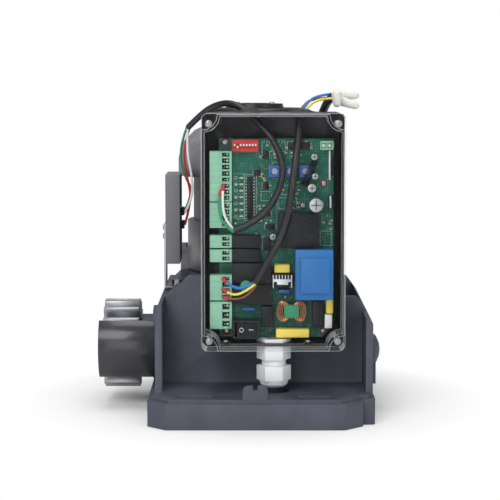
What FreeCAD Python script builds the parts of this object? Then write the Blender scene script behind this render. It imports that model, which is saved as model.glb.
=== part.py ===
import FreeCAD, Part
import math
import os
import re
import Sketcher
from FreeCAD import Placement, Rotation, Vector

# Sliding gate motor. X points right, Y to the back and Z up, in millimetres.
# The origin is the centre of the four anchor slots, on the underside of the base.

sizes = {
    # Foot of the base casting
    "base_width": 182,
    "base_length": 280,
    "foot_corner": 16,
    "foot_thick": 22,
    "rim_step": 3,
    "rim_inset": 4,
    "wing_width": 10.7,
    "wing_start": 25,
    "shell_wall": 6,
    "shelf_plate": 8,
    # Anchor slots
    "slot_spacing_x": 100,
    "slot_spacing_y": 244,
    "slot_length": 33,
    "slot_width": 10,
    "slot_rim": 5,
    # Walls above the foot
    "wall_inset_left": 5.5,
    "wall_inset_right": 1.2,
    "bay_front": 36,
    "bay_rear": 85,
    "block_rear": 36,
    "shoulder_height": 101.5,
    "wall_height": 120,
    "deck_height": 108,
    "left_shoulder": 8.5,
    "right_shoulder": 20,
    "right_chamfer": 11.5,
    "shoulder_edge": 7.5,
    "pocket_floor": 42,
    "pocket_left": 66,
    "tab_width": 21,
    "tab_height": 12,
    "tab_thick": 4,
    "entry_radius": 13.5,
    "entry_depth": 48,
    # Gear chamber
    "chamber_left": -32,
    "chamber_right": 46,
    "chamber_back": 76,
    "chamber_top": 96,
    "cover_thick": 6,
    "cover_rise": 4,
    "cover_rim": 7,
    "cover_screw": 1.5,
    # Output shaft line
    "output_height": 52,
    "pinion_module": 4,
    "pinion_teeth": 18,
    "pinion_face": 32,
    "pinion_gap": 1,
    "pinion_recess": 8,
    "shaft_diameter": 25,
    "shaft_end_diameter": 20,
    "bearing_diameter": 47,
    "bearing_width": 12,
    "seal_diameter": 38,
    "seal_width": 7,
    "collar_radius": 26,
    "collar_length": 11,
    "collar_spigot": 3,
    "boss_radius": 34,
    "boss_length": 6.5,
    "tube_radius": 30,
    "tube_bore": 16,
    "pinion_bolt_diameter": 10,
    "pinion_washer_radius": 14,
    "pinion_washer_thick": 2,
    "key_width": 8,
    "key_height": 7,
    "key_length": 18,
    # Worm and worm wheel
    "worm_module": 2.5,
    "worm_diameter": 30,
    "worm_length": 42,
    "wheel_teeth": 28,
    "wheel_face": 20,
    "tooth_play": 0.45,
    "pressure_angle": 20,
    # Clutch and release
    "dog_height": 4,
    "dog_inner": 16.5,
    "dog_outer": 24,
    "dog_width": 8,
    "clutch_radius": 26,
    "clutch_length": 15,
    "groove_radius": 21.5,
    "groove_width": 4,
    "spline_rise": 3,
    "spline_width": 6,
    "fork_width": 6,
    "release_offset": 38,
    "release_radius": 6,
    "release_boss": 12,
    "lever_hub": 14,
    "lever_dome": 9,
    "lever_width": 15,
    "lever_thick": 5,
    "lever_reach": 30,
    "spring_wire": 2,
    # Motor
    "seat_rise": 5.5,
    "seat_radius": 62.5,
    "lower_bell_height": 47.5,
    "stator_radius": 57,
    "stator_height": 41.5,
    "stator_bore": 31,
    "upper_bell_radius": 71,
    "upper_bell_height": 44.5,
    "bell_bore": 50,
    "bell_plate": 8,
    "spigot_radius": 20,
    "spigot_length": 7,
    "rotor_gap": 0.4,
    "winding_inner": 34,
    "winding_outer": 48,
    "winding_height": 15,
    "motor_bearing_diameter": 35,
    "motor_bearing_bore": 15,
    "motor_bearing_width": 11,
    "ear_size": 16,
    "ear_height": 17,
    "ear_reach": 61.2,
    "ear_screw": 2,
    "cap_radius": 45.5,
    "cap_height": 17.5,
    "cap_crown_radius": 27,
    "cap_crown": 4,
    "cap_wall": 2.5,
    "cap_screw_reach": 16,
    # Control box
    "box_width": 120,
    "box_height": 198,
    "box_depth": 75,
    "lid_depth": 30,
    "box_front": 2,
    "box_bottom": 65.5,
    "box_shift": 15,
    "box_wall": 2.5,
    "box_corner": 6,
    "corner_post": 6.5,
    "window_inset": 4.5,
    "window_scoop": 13,
    "window_rise": 5,
    "gasket_width": 1.2,
    "box_post_radius": 6,
    "post_middle": 9.8,
    "post_spread": 25,
    "grommet_radius": 13,
    "grommet_rise": 3,
    "grommet_bore": 5.5,
    # Circuit board
    "board_width": 97.5,
    "board_height": 170,
    "board_thick": 1.6,
    "board_standoff": 22.9,
    "board_shift": 3,
    "board_rise": 3.2,
    "standoff_radius": 3.5,
    # Cable gland
    "gland_thread": 10,
    "gland_x": 16,
    "gland_depth": 47,
    "gland_flats": 25.5,
    "gland_body": 12.5,
    "gland_neck": 5.5,
    "gland_nut": 12.5,
    "gland_dome": 6.5,
    "gland_bore": 6.5,
    "locknut_thick": 2.8,
    # Limit switch
    "limit_width": 13,
    "limit_length": 46,
    "limit_height": 80,
    "limit_bottom": 127,
    "limit_left": -79.8,
    "limit_front": -27,
    "limit_wall": 2,
    "bracket_thick": 1.7,
    "bracket_foot": 104,
    "bracket_width": 24,
    "bracket_top": 162,
    "bracket_reach": 13,
    # Pinion guard
    "guard_radius": 32,
    "guard_wall": 2.5,
    "guard_shift": 18,
    "guard_half_height": 25.5,
    "guard_reach": 53.5,
    "guard_flange": 4.5,
    # Clearances
    "running_gap": 0.03,
    "sliding_gap": 0.3,
    "screw_radius": 2,
}

# Places that follow from the sizes above
derived = {
    "ledge_top": "foot_thick + rim_step",
    "front_edge": "-base_length / 2",
    "left_wall": "wall_inset_left - base_width / 2",
    "right_wall": "base_width / 2 + wing_width - wall_inset_right",
    "wall_front": "bay_rear - base_length / 2",
    "block_back": "base_length / 2 - block_rear",
    "wheel_diameter": "wheel_teeth * worm_module",
    "worm_distance": "(worm_diameter + wheel_diameter) / 2",
    "worm_root": "worm_diameter / 2 - 1.25 * worm_module",
    "cover_top": "cover_rise + cover_thick",
    "boss_face": "left_wall - boss_length",
    "collar_face": "boss_face - collar_length",
    "pinion_right": "collar_face - pinion_gap",
    "pinion_left": "pinion_right - pinion_face",
    "bolt_seat": "pinion_left + pinion_recess",
    "left_bearing_start": "boss_face + collar_spigot",
    "seat_top": "deck_height + seat_rise",
    "stator_bottom": "seat_top + lower_bell_height",
    "stator_top": "stator_bottom + stator_height",
    "bell_top": "stator_top + upper_bell_height",
    "ear_top": "seat_top + 4 + ear_height",
    "cap_top": "bell_top + cap_height + cap_crown",
    "clutch_left": "wheel_face / 2 + sliding_gap",
    "groove_start": "clutch_left + clutch_length / 2",
    "fork_left": "groove_start + sliding_gap",
    "fork_right": "groove_start + groove_width - sliding_gap",
    "lever_left": "right_wall + 1.8",
    "box_left": "box_shift - box_width / 2",
    "box_right": "box_shift + box_width / 2",
    "box_top": "box_bottom + box_height",
    "lid_front": "front_edge + box_front",
    "lid_back": "lid_front + lid_depth",
    "box_back": "lid_front + box_depth",
    "box_floor": "box_bottom + box_wall",
    "board_left": "box_shift + board_shift - board_width / 2",
    "board_bottom": "box_floor + board_rise",
    "board_back": "box_back - box_wall - board_standoff",
    "board_face": "board_back - board_thick",
    "gland_y": "front_edge + gland_depth",
    "gland_neck_top": "box_bottom - gland_body",
    "gland_nut_top": "gland_neck_top - gland_neck",
    "gland_nut_bottom": "gland_nut_top - gland_nut",
    "gland_tip": "gland_nut_bottom - gland_dome",
    "limit_right": "limit_left + limit_width",
    "limit_back": "limit_front + limit_length",
    "limit_top": "limit_bottom + limit_height",
    "limit_middle": "(limit_front + limit_back) / 2",
    "ear_line": "ear_reach + 4.7",
    "guard_left": "left_wall - guard_reach",
}

document = FreeCAD.newDocument("sliding_gate_motor")
sheet = document.addObject("Spreadsheet::Sheet", "Sizes")
for row, (alias, amount) in enumerate(sizes.items(), 1):
    sheet.set(f"A{row}", alias)
    sheet.set(f"B{row}", str(amount))
    sheet.setAlias(f"B{row}", alias)
document.recompute()


def spelled(text, prefix=""):
    """A length written with the names above, down to cells of the sheet."""

    def word(match):
        name = match.group()
        if name in derived:
            return "(" + spelled(derived[name], prefix) + ")"
        return prefix + name if name in sizes else name

    return re.sub(r"[a-z][a-z_]*", word, str(text))


def bound(text):
    """The same length as an expression for another object's property."""
    return spelled(text, "Sizes.")


def number(text):
    """Its value in millimetres."""
    return float(sheet.evalExpression(spelled(text)))


def new_body(label):
    return document.addObject("PartDesign::Body", label)


def bind(feature, **lengths):
    for name, text in lengths.items():
        feature.setExpression(name.replace("__", "."), bound(text))


def sketch_on(body, role, offset=(0, 0, 0)):
    """An empty sketch on one of the body's own planes, moved by an offset in the plane's frame."""
    sketch = body.newObject("Sketcher::SketchObject", body.Name + "_sketch")
    plane = next(item for item in body.Origin.OriginFeatures if item.Role == role)
    sketch.AttachmentSupport = (plane, [""])
    sketch.MapMode = "FlatFace"
    for letter, text in zip("xyz", offset):
        sketch.setExpression(f"AttachmentOffset.Base.{letter}", bound(text))
    return sketch


def draw_outline(sketch, points):
    """A closed outline through points whose two places are both bound to the sheet."""
    places = [Vector(number(first), number(second), 0) for first, second in points]
    count = len(places)
    edges = [Part.LineSegment(places[i], places[(i + 1) % count]) for i in range(count)]
    sketch.addGeometry(edges, False)
    rules = [Sketcher.Constraint("Coincident", i, 2, (i + 1) % count, 1) for i in range(count)]
    for i, place in enumerate(places):
        rules.append(Sketcher.Constraint("DistanceX", -1, 1, i, 1, place.x))
        rules.append(Sketcher.Constraint("DistanceY", -1, 1, i, 1, place.y))
    sketch.addConstraint(rules)
    for i, (first, second) in enumerate(points):
        sketch.setExpression(f"Constraints[{count + 2 * i}]", bound(first))
        sketch.setExpression(f"Constraints[{count + 2 * i + 1}]", bound(second))


def prism(body, axis, points, start, end, cut=False):
    """A pad or pocket of an outline between two places along X, Y or Z."""
    length = f"({end}) - ({start})"
    role = {"X": "YZ_Plane", "Y": "XZ_Plane", "Z": "XY_Plane"}[axis]
    first = end if cut != (axis == "Y") else start
    place = f"-({first})" if axis == "Y" else first
    sketch = sketch_on(body, role, (0, 0, place))
    draw_outline(sketch, points)
    kind = "PartDesign::Pocket" if cut else "PartDesign::Pad"
    feature = body.newObject(kind, body.Name + "_prism")
    feature.Profile = sketch
    bind(feature, Length=length)
    return feature


def block(body, x, y, z, cut=False):
    """A box between pairs of places."""
    kind = "PartDesign::SubtractiveBox" if cut else "PartDesign::AdditiveBox"
    feature = body.newObject(kind, body.Name + "_block")
    bind(feature, Placement__Base__x=x[0], Placement__Base__y=y[0], Placement__Base__z=z[0])
    names = ("Length", "Width", "Height")
    for name, (low, high) in zip(names, (x, y, z)):
        feature.setExpression(name, bound(f"({high}) - ({low})"))
    return feature


def rod(body, axis, centre, radius, start, end, cut=False):
    """A cylinder along X, Y or Z, its centre given in the other two directions."""
    kind = "PartDesign::SubtractiveCylinder" if cut else "PartDesign::AdditiveCylinder"
    feature = body.newObject(kind, body.Name + "_rod")
    first, second = centre
    if axis == "X":
        feature.Placement = Placement(Vector(), Rotation(Vector(0, 1, 0), 90))
        place = (start, first, second)
    elif axis == "Y":
        feature.Placement = Placement(Vector(), Rotation(Vector(1, 0, 0), -90))
        place = (first, start, second)
    else:
        place = (first, second, start)
    bind(feature, Radius=radius, Height=f"({end}) - ({start})")
    bind(feature, Placement__Base__x=place[0], Placement__Base__y=place[1], Placement__Base__z=place[2])
    return feature


def turned(body, axis, centre, points, cut=False):
    """A solid of revolution. Its points are (place along the axis, radius)."""
    first, second = centre
    if axis == "X":
        sketch = sketch_on(body, "XY_Plane", (0, first, second))
    elif axis == "Y":
        sketch = sketch_on(body, "XY_Plane", (first, 0, second))
    else:
        sketch = sketch_on(body, "XZ_Plane", (first, 0, f"-({second})"))
    if axis != "X":
        points = [(radius, along) for along, radius in points]
    draw_outline(sketch, points)
    kind = "PartDesign::Groove" if cut else "PartDesign::Revolution"
    feature = body.newObject(kind, body.Name + "_turned")
    feature.Profile = sketch
    feature.ReferenceAxis = (sketch, ["H_Axis" if axis == "X" else "V_Axis"])
    feature.Angle = 360
    return feature


def slot_points(x, y, length, width, corner_steps=4):
    """A slot with round ends, long in X, as an outline of short chords."""
    points = []
    for side, start in ((1, -90), (-1, 90)):
        for step in range(corner_steps + 1):
            turn = start + 180 * step / corner_steps
            points.append((
                f"({x}) + {side} * (({length}) - ({width})) / 2 + ({width}) / 2 * cos({turn})",
                f"({y}) + ({width}) / 2 * sin({turn})",
            ))
    return points


def polygon(x, y, radius, sides=6):
    """A regular outline by the radius of its corners."""
    turns = [360 * side / sides for side in range(sides)]
    return [(f"({x}) + ({radius}) * cos({turn})", f"({y}) + ({radius}) * sin({turn})") for turn in turns]


def hexagon(x, y, flats):
    """A hexagon by its width across flats."""
    return polygon(x, y, f"({flats}) / sqrt(3)")


def screw_hole(body, axis, centre, radius, start, end):
    """A hole for a small screw, six-sided like the screws to keep the faces few."""
    prism(body, axis, polygon(*centre, radius), start, end, cut=True)


def edges_where(body, test):
    """Names of the edges of a body's present shape that pass a test on their two ends."""
    document.recompute()
    names = []
    for index, edge in enumerate(body.Shape.Edges, 1):
        ends = [vertex.Point for vertex in edge.Vertexes]
        if len(ends) == 2 and test(*ends):
            names.append(f"Edge{index}")
    return names


def soften(body, names, radius, kind="PartDesign::Fillet"):
    """A fillet or chamfer on named edges of the body's last feature."""
    feature = body.newObject(kind, body.Name + "_edge")
    feature.Base = (body.Tip if body.Tip != feature else feature.BaseFeature, names)
    bind(feature, **{"Radius" if kind.endswith("Fillet") else "Size": radius})
    return feature


def shaped(label, shape):
    """A sub-part whose form is worked out from the sheet by a formula."""
    feature = document.addObject("Part::Feature", label)
    feature.Shape = shape
    return feature


def around(x, z, places):
    """Centres at the four corners of a rectangle."""
    return [(f"({x}) + {i} * ({places[0]})", f"({z}) + {k} * ({places[1]})") for i in (-1, 1) for k in (-1, 1)]


def foot_outline(inset):
    """Plan of the foot: cut corners, and a wing on the right from a little behind the front."""
    left = f"{inset} - base_width / 2"
    right = f"base_width / 2 - {inset}"
    wing = f"base_width / 2 + wing_width - {inset}"
    front = f"{inset} - base_length / 2"
    back = f"base_length / 2 - {inset}"
    cut = f"(foot_corner - 0.414 * {inset})"
    step = f"front_edge + wing_start + {inset}"
    return [
        (f"{left} + {cut}", front),
        (f"{right} - {cut}", front),
        (right, f"{front} + {cut}"),
        (right, f"{step} - 2"),
        (f"{wing} - 2", f"{step} - 2"),
        (wing, step),
        (wing, f"{back} - {cut}"),
        (f"{wing} - {cut}", back),
        (f"{left} + {cut}", back),
        (left, f"{back} - {cut}"),
        (left, f"{front} + {cut}"),
    ]


def wall_outline():
    """Front view of the block behind the wiring bay, with its sloping shoulders."""
    rise = "(wall_height - shoulder_height)"
    return [
        ("left_wall", "foot_thick - 4"),
        ("right_wall", "foot_thick - 4"),
        ("right_wall", "shoulder_height - 17.5"),
        ("right_wall - 2", "shoulder_height - 13"),
        ("right_wall - right_chamfer", "shoulder_height"),
        ("right_wall - right_shoulder", "shoulder_height"),
        (f"right_wall - right_shoulder - {rise}", "wall_height"),
        (f"left_wall + left_shoulder + {rise}", "wall_height"),
        ("left_wall + left_shoulder", "shoulder_height"),
        ("left_wall + 3.5", "shoulder_height"),
        ("left_wall", "shoulder_height - shoulder_edge"),
    ]


slots = around(0, 0, ("slot_spacing_x / 2", "slot_spacing_y / 2"))
box_posts = [(x, z) for x in ("post_middle - post_spread", "post_middle + post_spread")
             for z in ("box_bottom + 7", "wall_height - 10")]
ears = [("ear_reach", 0), (0, "ear_reach"), ("-ear_reach", 0), (0, "-ear_reach")]
cover_screws = [(x, y) for x in ("chamber_left - 3", "chamber_right + 3.5")
                for y in ("wall_front + 4.7", "chamber_back + 2.4")]
cap_screws = [("-cap_screw_reach", "worm_distance"), ("cap_screw_reach", "worm_distance")]
collar_screws = [(f"22.3 * cos({turn})", f"output_height + 22.3 * sin({turn})") for turn in (90, 210, 330)]
ear_screws = [("ear_line", "worm_distance"), (0, "worm_distance + ear_line"),
              ("-ear_line", "worm_distance"), (0, "worm_distance - ear_line")]
limit_screws = [("limit_middle", z) for z in ("limit_bottom + 23", "limit_bottom + 31")]
bracket_bolt = ("limit_left + 9", "limit_middle")
tie_places = [(f"(stator_radius + 3.2) * cos({turn})", f"(stator_radius + 3.2) * sin({turn})")
              for turn in (45, 135, 225, 315)]


def base_casting():
    """Cast foot, wiring bay, gear chamber and motor seat in one piece."""
    body = new_body("base_casting")
    prism(body, "Z", foot_outline("0"), "0", "foot_thick")
    prism(body, "Z", foot_outline("rim_inset"), "foot_thick - 1", "ledge_top")
    prism(body, "Y", wall_outline(), "wall_front", "block_back")
    # Side walls of the wiring bay
    side = [("left_wall", "foot_thick - 4"), ("left_wall + shell_wall", "foot_thick - 4"),
            ("left_wall + shell_wall", "shoulder_height"), ("left_wall + 3.5", "shoulder_height"),
            ("left_wall", "shoulder_height - shoulder_edge")]
    prism(body, "Y", side, "front_edge + bay_front", "wall_front + 1")
    side = [("right_wall - shell_wall", "foot_thick - 4"), ("right_wall", "foot_thick - 4"),
            ("right_wall", "shoulder_height - 17.5"), ("right_wall - 2", "shoulder_height - 13"),
            ("right_wall - shell_wall", "shoulder_height - 13")]
    prism(body, "Y", side, "front_edge + bay_front", "wall_front + 1")
    # Deck behind the front wall
    block(body, ("left_wall - 1", "right_wall + 1"), ("wall_front + shell_wall", "block_back + 1"),
          ("deck_height", "wall_height + 1"), cut=True)
    rod(body, "Z", (0, "worm_distance"), "seat_radius", "deck_height - shell_wall", "seat_top")
    # Hollows below the left shoulder, behind the gear chamber and under the shelf
    block(body, ("left_wall + shell_wall", "chamber_left - shell_wall"),
          ("wall_front + shell_wall", "block_back - shell_wall"),
          (-1, "shoulder_height - shell_wall"), cut=True)
    block(body, ("chamber_left", "pocket_left - shell_wall"),
          ("chamber_back + shell_wall", "block_back - shell_wall"),
          (-1, "deck_height - 2 * shell_wall"), cut=True)
    shelf = [
        ("shell_wall - base_width / 2 + foot_corner", "front_edge + shell_wall"),
        ("base_width / 2 - shell_wall - foot_corner", "front_edge + shell_wall"),
        ("base_width / 2 - shell_wall", "front_edge + shell_wall + foot_corner"),
        ("base_width / 2 - shell_wall", "wall_front"),
        ("shell_wall - base_width / 2", "wall_front"),
        ("shell_wall - base_width / 2", "front_edge + shell_wall + foot_corner"),
    ]
    prism(body, "Z", shelf, -1, "ledge_top - shelf_plate", cut=True)
    # Open pocket on the right shoulder
    block(body, ("pocket_left", "right_wall - shell_wall"),
          ("wall_front + shell_wall", "block_back - shell_wall"),
          ("pocket_floor", "wall_height"), cut=True)
    # Tubes for the output shaft and the release shaft
    rod(body, "X", (0, "output_height"), "boss_radius", "boss_face", "left_wall + shell_wall")
    rod(body, "X", (0, "output_height"), "tube_radius", "left_wall", "chamber_left - 1")
    rod(body, "X", ("-release_offset", "output_height"), "release_boss", "chamber_right + 1", "right_wall + 1")
    # Pads under the four ears of the motor
    half = "ear_size / 2"
    for x, y in ears:
        block(body, (f"{x} - {half}", f"{x} + {half}"),
              (f"worm_distance + {y} - {half}", f"worm_distance + {y} + {half}"),
              ("deck_height - shell_wall", "seat_top"))
    for place in ear_screws:
        screw_hole(body, "Z", place, "ear_screw + running_gap", "seat_top - 10", "seat_top + 1")
    # Flat seat for the limit switch bracket on the left shoulder
    block(body, ("left_wall + 1", "limit_right + 1"),
          ("limit_middle - bracket_width / 2 - 2", "limit_middle + bracket_width / 2 + 2"),
          ("bracket_foot", "wall_height"), cut=True)
    rod(body, "Z", bracket_bolt, "7", "shoulder_height - shell_wall - 1", "bracket_foot")
    screw_hole(body, "Z", bracket_bolt, "2.43", "bracket_foot - 9", "bracket_foot + 1")
    # Gear chamber, open below
    block(body, ("chamber_left", "chamber_right"), ("wall_front + shell_wall", "chamber_back"),
          (-1, "chamber_top"), cut=True)
    block(body, ("chamber_left - cover_rim + 1", "chamber_right + cover_rim"),
          ("wall_front + 2", "chamber_back + cover_rim - 2"), (-1, "cover_top"), cut=True)
    for place in cover_screws:
        screw_hole(body, "Z", place, "cover_screw + running_gap", "cover_top - 1", "cover_top + 10")
    # Motor spigot, bearing seats and shaft bores
    rod(body, "Z", (0, "worm_distance"), "spigot_radius", "chamber_top - 1", "seat_top + 1", cut=True)
    rod(body, "X", (0, "output_height"), "tube_bore", "boss_face - 1", "chamber_left + 1", cut=True)
    rod(body, "X", (0, "output_height"), "bearing_diameter / 2", "boss_face - 1",
        "left_bearing_start + bearing_width", cut=True)
    rod(body, "X", (0, "output_height"), "bearing_diameter / 2", "chamber_right - 1",
        "chamber_right + bearing_width", cut=True)
    rod(body, "X", ("-release_offset", "output_height"), "release_radius + running_gap",
        "chamber_right - 1", "right_wall + 2", cut=True)
    # Anchor slots in round-ended bosses
    for x, y in slots:
        points = slot_points(x, y, "slot_length + 2 * slot_rim", "slot_width + 2 * slot_rim")
        prism(body, "Z", points, 0, "ledge_top - 1")
    for x, y in slots:
        half = "(slot_length - slot_width) / 2"
        block(body, (f"{x} - {half}", f"{x} + {half}"), (f"{y} - slot_width / 2", f"{y} + slot_width / 2"),
              (-1, "ledge_top + 1"), cut=True)
        for end in (f"{x} - {half}", f"{x} + {half}"):
            rod(body, "Z", (end, y), "slot_width / 2", -1, "ledge_top + 1", cut=True)
    rod(body, "Z", ("gland_x", "front_edge + entry_depth"), "entry_radius", -1, "ledge_top + 1", cut=True)
    # Tab for the cover screw at the front edge, with a notch in its top
    tab = [
        ("-tab_width / 2", "ledge_top - 2"), ("tab_width / 2", "ledge_top - 2"),
        ("tab_width / 2", "ledge_top + tab_height - 4"), ("tab_width / 2 - 1.2", "ledge_top + tab_height - 1.2"),
        ("tab_width / 2 - 4", "ledge_top + tab_height"), ("2", "ledge_top + tab_height"),
        ("2", "ledge_top + tab_height - 4"), ("-2", "ledge_top + tab_height - 4"),
        ("-2", "ledge_top + tab_height"), ("4 - tab_width / 2", "ledge_top + tab_height"),
        ("1.2 - tab_width / 2", "ledge_top + tab_height - 1.2"), ("-tab_width / 2", "ledge_top + tab_height - 4"),
    ]
    prism(body, "Y", tab, "front_edge + rim_inset", "front_edge + rim_inset + tab_thick")
    # Posts that carry the control box
    for place in box_posts:
        prism(body, "Y", polygon(*place, "box_post_radius", 12), "box_back", "wall_front + 1")
        screw_hole(body, "Y", place, "screw_radius", "box_back - 1", "wall_front")


def gearbox_cover():
    """Plate under the gear chamber, with the cup of the lower worm bearing."""
    body = new_body("gearbox_cover")
    block(body, ("chamber_left - cover_rim + 1 + sliding_gap", "chamber_right + cover_rim - sliding_gap"),
          ("wall_front + 2 + sliding_gap", "chamber_back + cover_rim - 2 - sliding_gap"),
          ("cover_rise", "cover_top"))
    for place in cover_screws:
        screw_hole(body, "Z", place, "cover_screw + sliding_gap", "cover_rise - 1", "cover_top + 1")
    cup = "motor_bearing_diameter / 2"
    rod(body, "Z", (0, "worm_distance"), f"{cup} + 4", "cover_top", "cover_top + 1 + motor_bearing_width")
    rod(body, "Z", (0, "worm_distance"), cup, "cover_top + 1", "cover_top + 2 + motor_bearing_width", cut=True)


def ring(body, axis, centre, inner, outer, start, end):
    """A plain ring."""
    turned(body, axis, centre, [(start, inner), (end, inner), (end, outer), (start, outer)])


def bearing(body, axis, centre, bore, outside, start, width):
    """A sealed ball bearing as one ring."""
    ring(body, axis, centre, f"{bore} / 2", f"{outside} / 2", start, f"({start}) + ({width})")


shaft_line = (0, "output_height")
motor_line = (0, "worm_distance")


def output_bearings():
    body = new_body("output_bearings")
    bore = "(shaft_diameter + 2 * running_gap)"
    bearing(body, "X", shaft_line, bore, "bearing_diameter", "left_bearing_start", "bearing_width")
    bearing(body, "X", shaft_line, bore, "bearing_diameter", "chamber_right", "bearing_width")


def bearing_housing():
    """Machined collar outside the casting, which holds the seal and locates the left bearing."""
    body = new_body("bearing_housing")
    turned(body, "X", shaft_line, [
        ("collar_face", "seal_diameter / 2"), ("collar_face + seal_width", "seal_diameter / 2"),
        ("collar_face + seal_width", "shaft_diameter / 2 + 1.5"),
        ("boss_face + collar_spigot", "shaft_diameter / 2 + 1.5"),
        ("boss_face + collar_spigot", "bearing_diameter / 2"),
        ("boss_face", "bearing_diameter / 2"), ("boss_face", "collar_radius"),
        ("collar_face + 1", "collar_radius"), ("collar_face", "collar_radius - 1"),
    ])
    for place in collar_screws:
        screw_hole(body, "X", place, "1.53", "collar_face - 1", "collar_face + 9.3")


def output_seal():
    """Rubber lip seal round the output shaft."""
    body = new_body("output_seal")
    turned(body, "X", shaft_line, [
        ("collar_face", "seal_diameter / 2"), ("collar_face + seal_width", "seal_diameter / 2"),
        ("collar_face + seal_width", "seal_diameter / 2 - 2"), ("collar_face + 2", "seal_diameter / 2 - 2"),
        ("collar_face + 3", "shaft_diameter / 2 + running_gap"),
        ("collar_face + 1.5", "shaft_diameter / 2 + running_gap"), ("collar_face", "seal_diameter / 2 - 4"),
    ])


def output_shaft():
    """Stepped shaft with a keyed end for the pinion and two splines under the clutch."""
    body = new_body("output_shaft")
    radius = "shaft_diameter / 2"
    end = "shaft_end_diameter / 2"
    turned(body, "X", shaft_line, [
        ("bolt_seat + 0.5", 0), ("chamber_right + bearing_width - 0.5", 0),
        ("chamber_right + bearing_width - 0.5", f"{radius} - 1"),
        ("chamber_right + bearing_width - 1.5", radius),
        ("pinion_right", radius), ("pinion_right", end), ("bolt_seat + 1.5", end), ("bolt_seat + 0.5", f"{end} - 1"),
    ])
    for side in (1, -1):
        low, high = (0, f"{radius} + spline_rise") if side > 0 else (f"-{radius} - spline_rise", 0)
        block(body, ("wheel_face / 2 + sliding_gap", "chamber_right - 8"),
              ("-spline_width / 2", "spline_width / 2"), (f"output_height + {low}", f"output_height + {high}"))
    rod(body, "X", shaft_line, "pinion_bolt_diameter / 2", "bolt_seat", "bolt_seat + 18", cut=True)
    block(body, ("pinion_right - 2 - key_length", "pinion_right - 2"), ("-key_width / 2", "key_width / 2"),
          (f"output_height + {end} - key_height / 2", f"output_height + {end} + 1"), cut=True)


def gear_outline(module, teeth, thinning, turn=0.0):
    """Outline of an involute gear in the YZ plane, each flank as two chords of the involute."""
    pressure = math.radians(number("pressure_angle"))
    pitch = module * teeth / 2
    base = pitch * math.cos(pressure)
    tip = pitch + module
    root = pitch - 1.25 * module

    def involute(angle):
        return math.tan(angle) - angle

    def half_angle(radius):
        inside = max(radius, base)
        swing = involute(math.acos(base / inside))
        return (math.pi * module / 2 - 2 * thinning) / (2 * pitch) + involute(pressure) - swing

    def point(radius, angle):
        return Vector(0, radius * math.cos(angle), radius * math.sin(angle))

    corners = []
    step = 2 * math.pi / teeth
    middle = (max(root, base) + tip) / 2
    for tooth in range(teeth):
        centre = tooth * step + turn
        low, mid, high = half_angle(root), half_angle(middle), half_angle(tip)
        rising = [point(root, centre - low), point(middle, centre - mid), point(tip, centre - high)]
        falling = [point(tip, centre + high), point(middle, centre + mid), point(root, centre + low)]
        corners.extend(rising + falling)
    return Part.makePolygon(corners + [corners[0]])


def pinion():
    """Spur gear for the rack on the gate, bored, keyed and recessed for its bolt."""
    left = number("pinion_left")
    face = number("pinion_face")
    wire = gear_outline(number("pinion_module"), int(number("pinion_teeth")), 0.05)
    wire.translate(Vector(left, 0, number("output_height")))
    gear = Part.Face(wire).extrude(Vector(face, 0, 0))
    axis = Vector(1, 0, 0)
    height = number("output_height")
    centre = Vector(left - 1, 0, height)
    bore = Part.makeCylinder(number("shaft_end_diameter / 2 + running_gap"), face + 2, centre, axis)
    recess_radius = number("pinion_washer_radius + 1")
    recess = Part.makeCylinder(recess_radius, number("pinion_recess") + 1, centre, axis)
    wide = number("key_width")
    keyway = Part.makeBox(face + 2, wide, number("shaft_end_diameter / 2 + key_height / 2") + 0.1,
                          Vector(left - 1, -wide / 2, height))
    shaped("pinion", gear.cut([bore, recess, keyway]))


def pinion_fixings():
    """Key, washer and hexagon bolt that hold the pinion."""
    body = new_body("pinion_fixings")
    ring(body, "X", shaft_line, "pinion_bolt_diameter / 2 + sliding_gap", "pinion_washer_radius",
         "bolt_seat - pinion_washer_thick", "bolt_seat")
    prism(body, "X", hexagon(0, "output_height", "1.6 * pinion_bolt_diameter"),
          "bolt_seat - pinion_washer_thick - 5.5", "bolt_seat - pinion_washer_thick")
    rod(body, "X", shaft_line, "pinion_bolt_diameter / 2 - running_gap", "bolt_seat - pinion_washer_thick - 1",
        "bolt_seat + 17")
    end = "shaft_end_diameter / 2"
    block(body, ("pinion_right - 2 - key_length", "pinion_right - 2"),
          ("0.05 - key_width / 2", "key_width / 2 - 0.05"),
          (f"output_height + {end} - key_height / 2", f"output_height + {end} + key_height / 2"))


def worm_wheel():
    """Bronze wheel with skewed teeth and four dogs for the clutch on its right face."""
    module = number("worm_module")
    pitch = number("wheel_diameter / 2")
    slope = number("worm_module / worm_diameter")
    half = number("wheel_face / 2")
    height = number("output_height")
    wires = []
    for x in (-half, half):
        wire = gear_outline(module, int(number("wheel_teeth")), number("tooth_play"), slope * x / pitch)
        wire.translate(Vector(x, 0, height))
        wires.append(wire)
    wheel = Part.makeLoft(wires, True, True)
    axis = Vector(1, 0, 0)
    dogs = []
    long = number("dog_outer - dog_inner")
    wide = number("dog_width")
    for turn in range(45, 405, 90):
        dog = Part.makeBox(number("dog_height") + 1, long, wide, Vector(half - 1, number("dog_inner"), -wide / 2))
        dog.rotate(Vector(), axis, turn)
        dog.translate(Vector(0, 0, height))
        dogs.append(dog)
    wheel = wheel.fuse(dogs)
    bore = Part.makeCylinder(number("shaft_diameter / 2 + running_gap"), 4 * half, Vector(-2 * half, 0, height), axis)
    shaped("worm_wheel", wheel.cut(bore))


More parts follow.
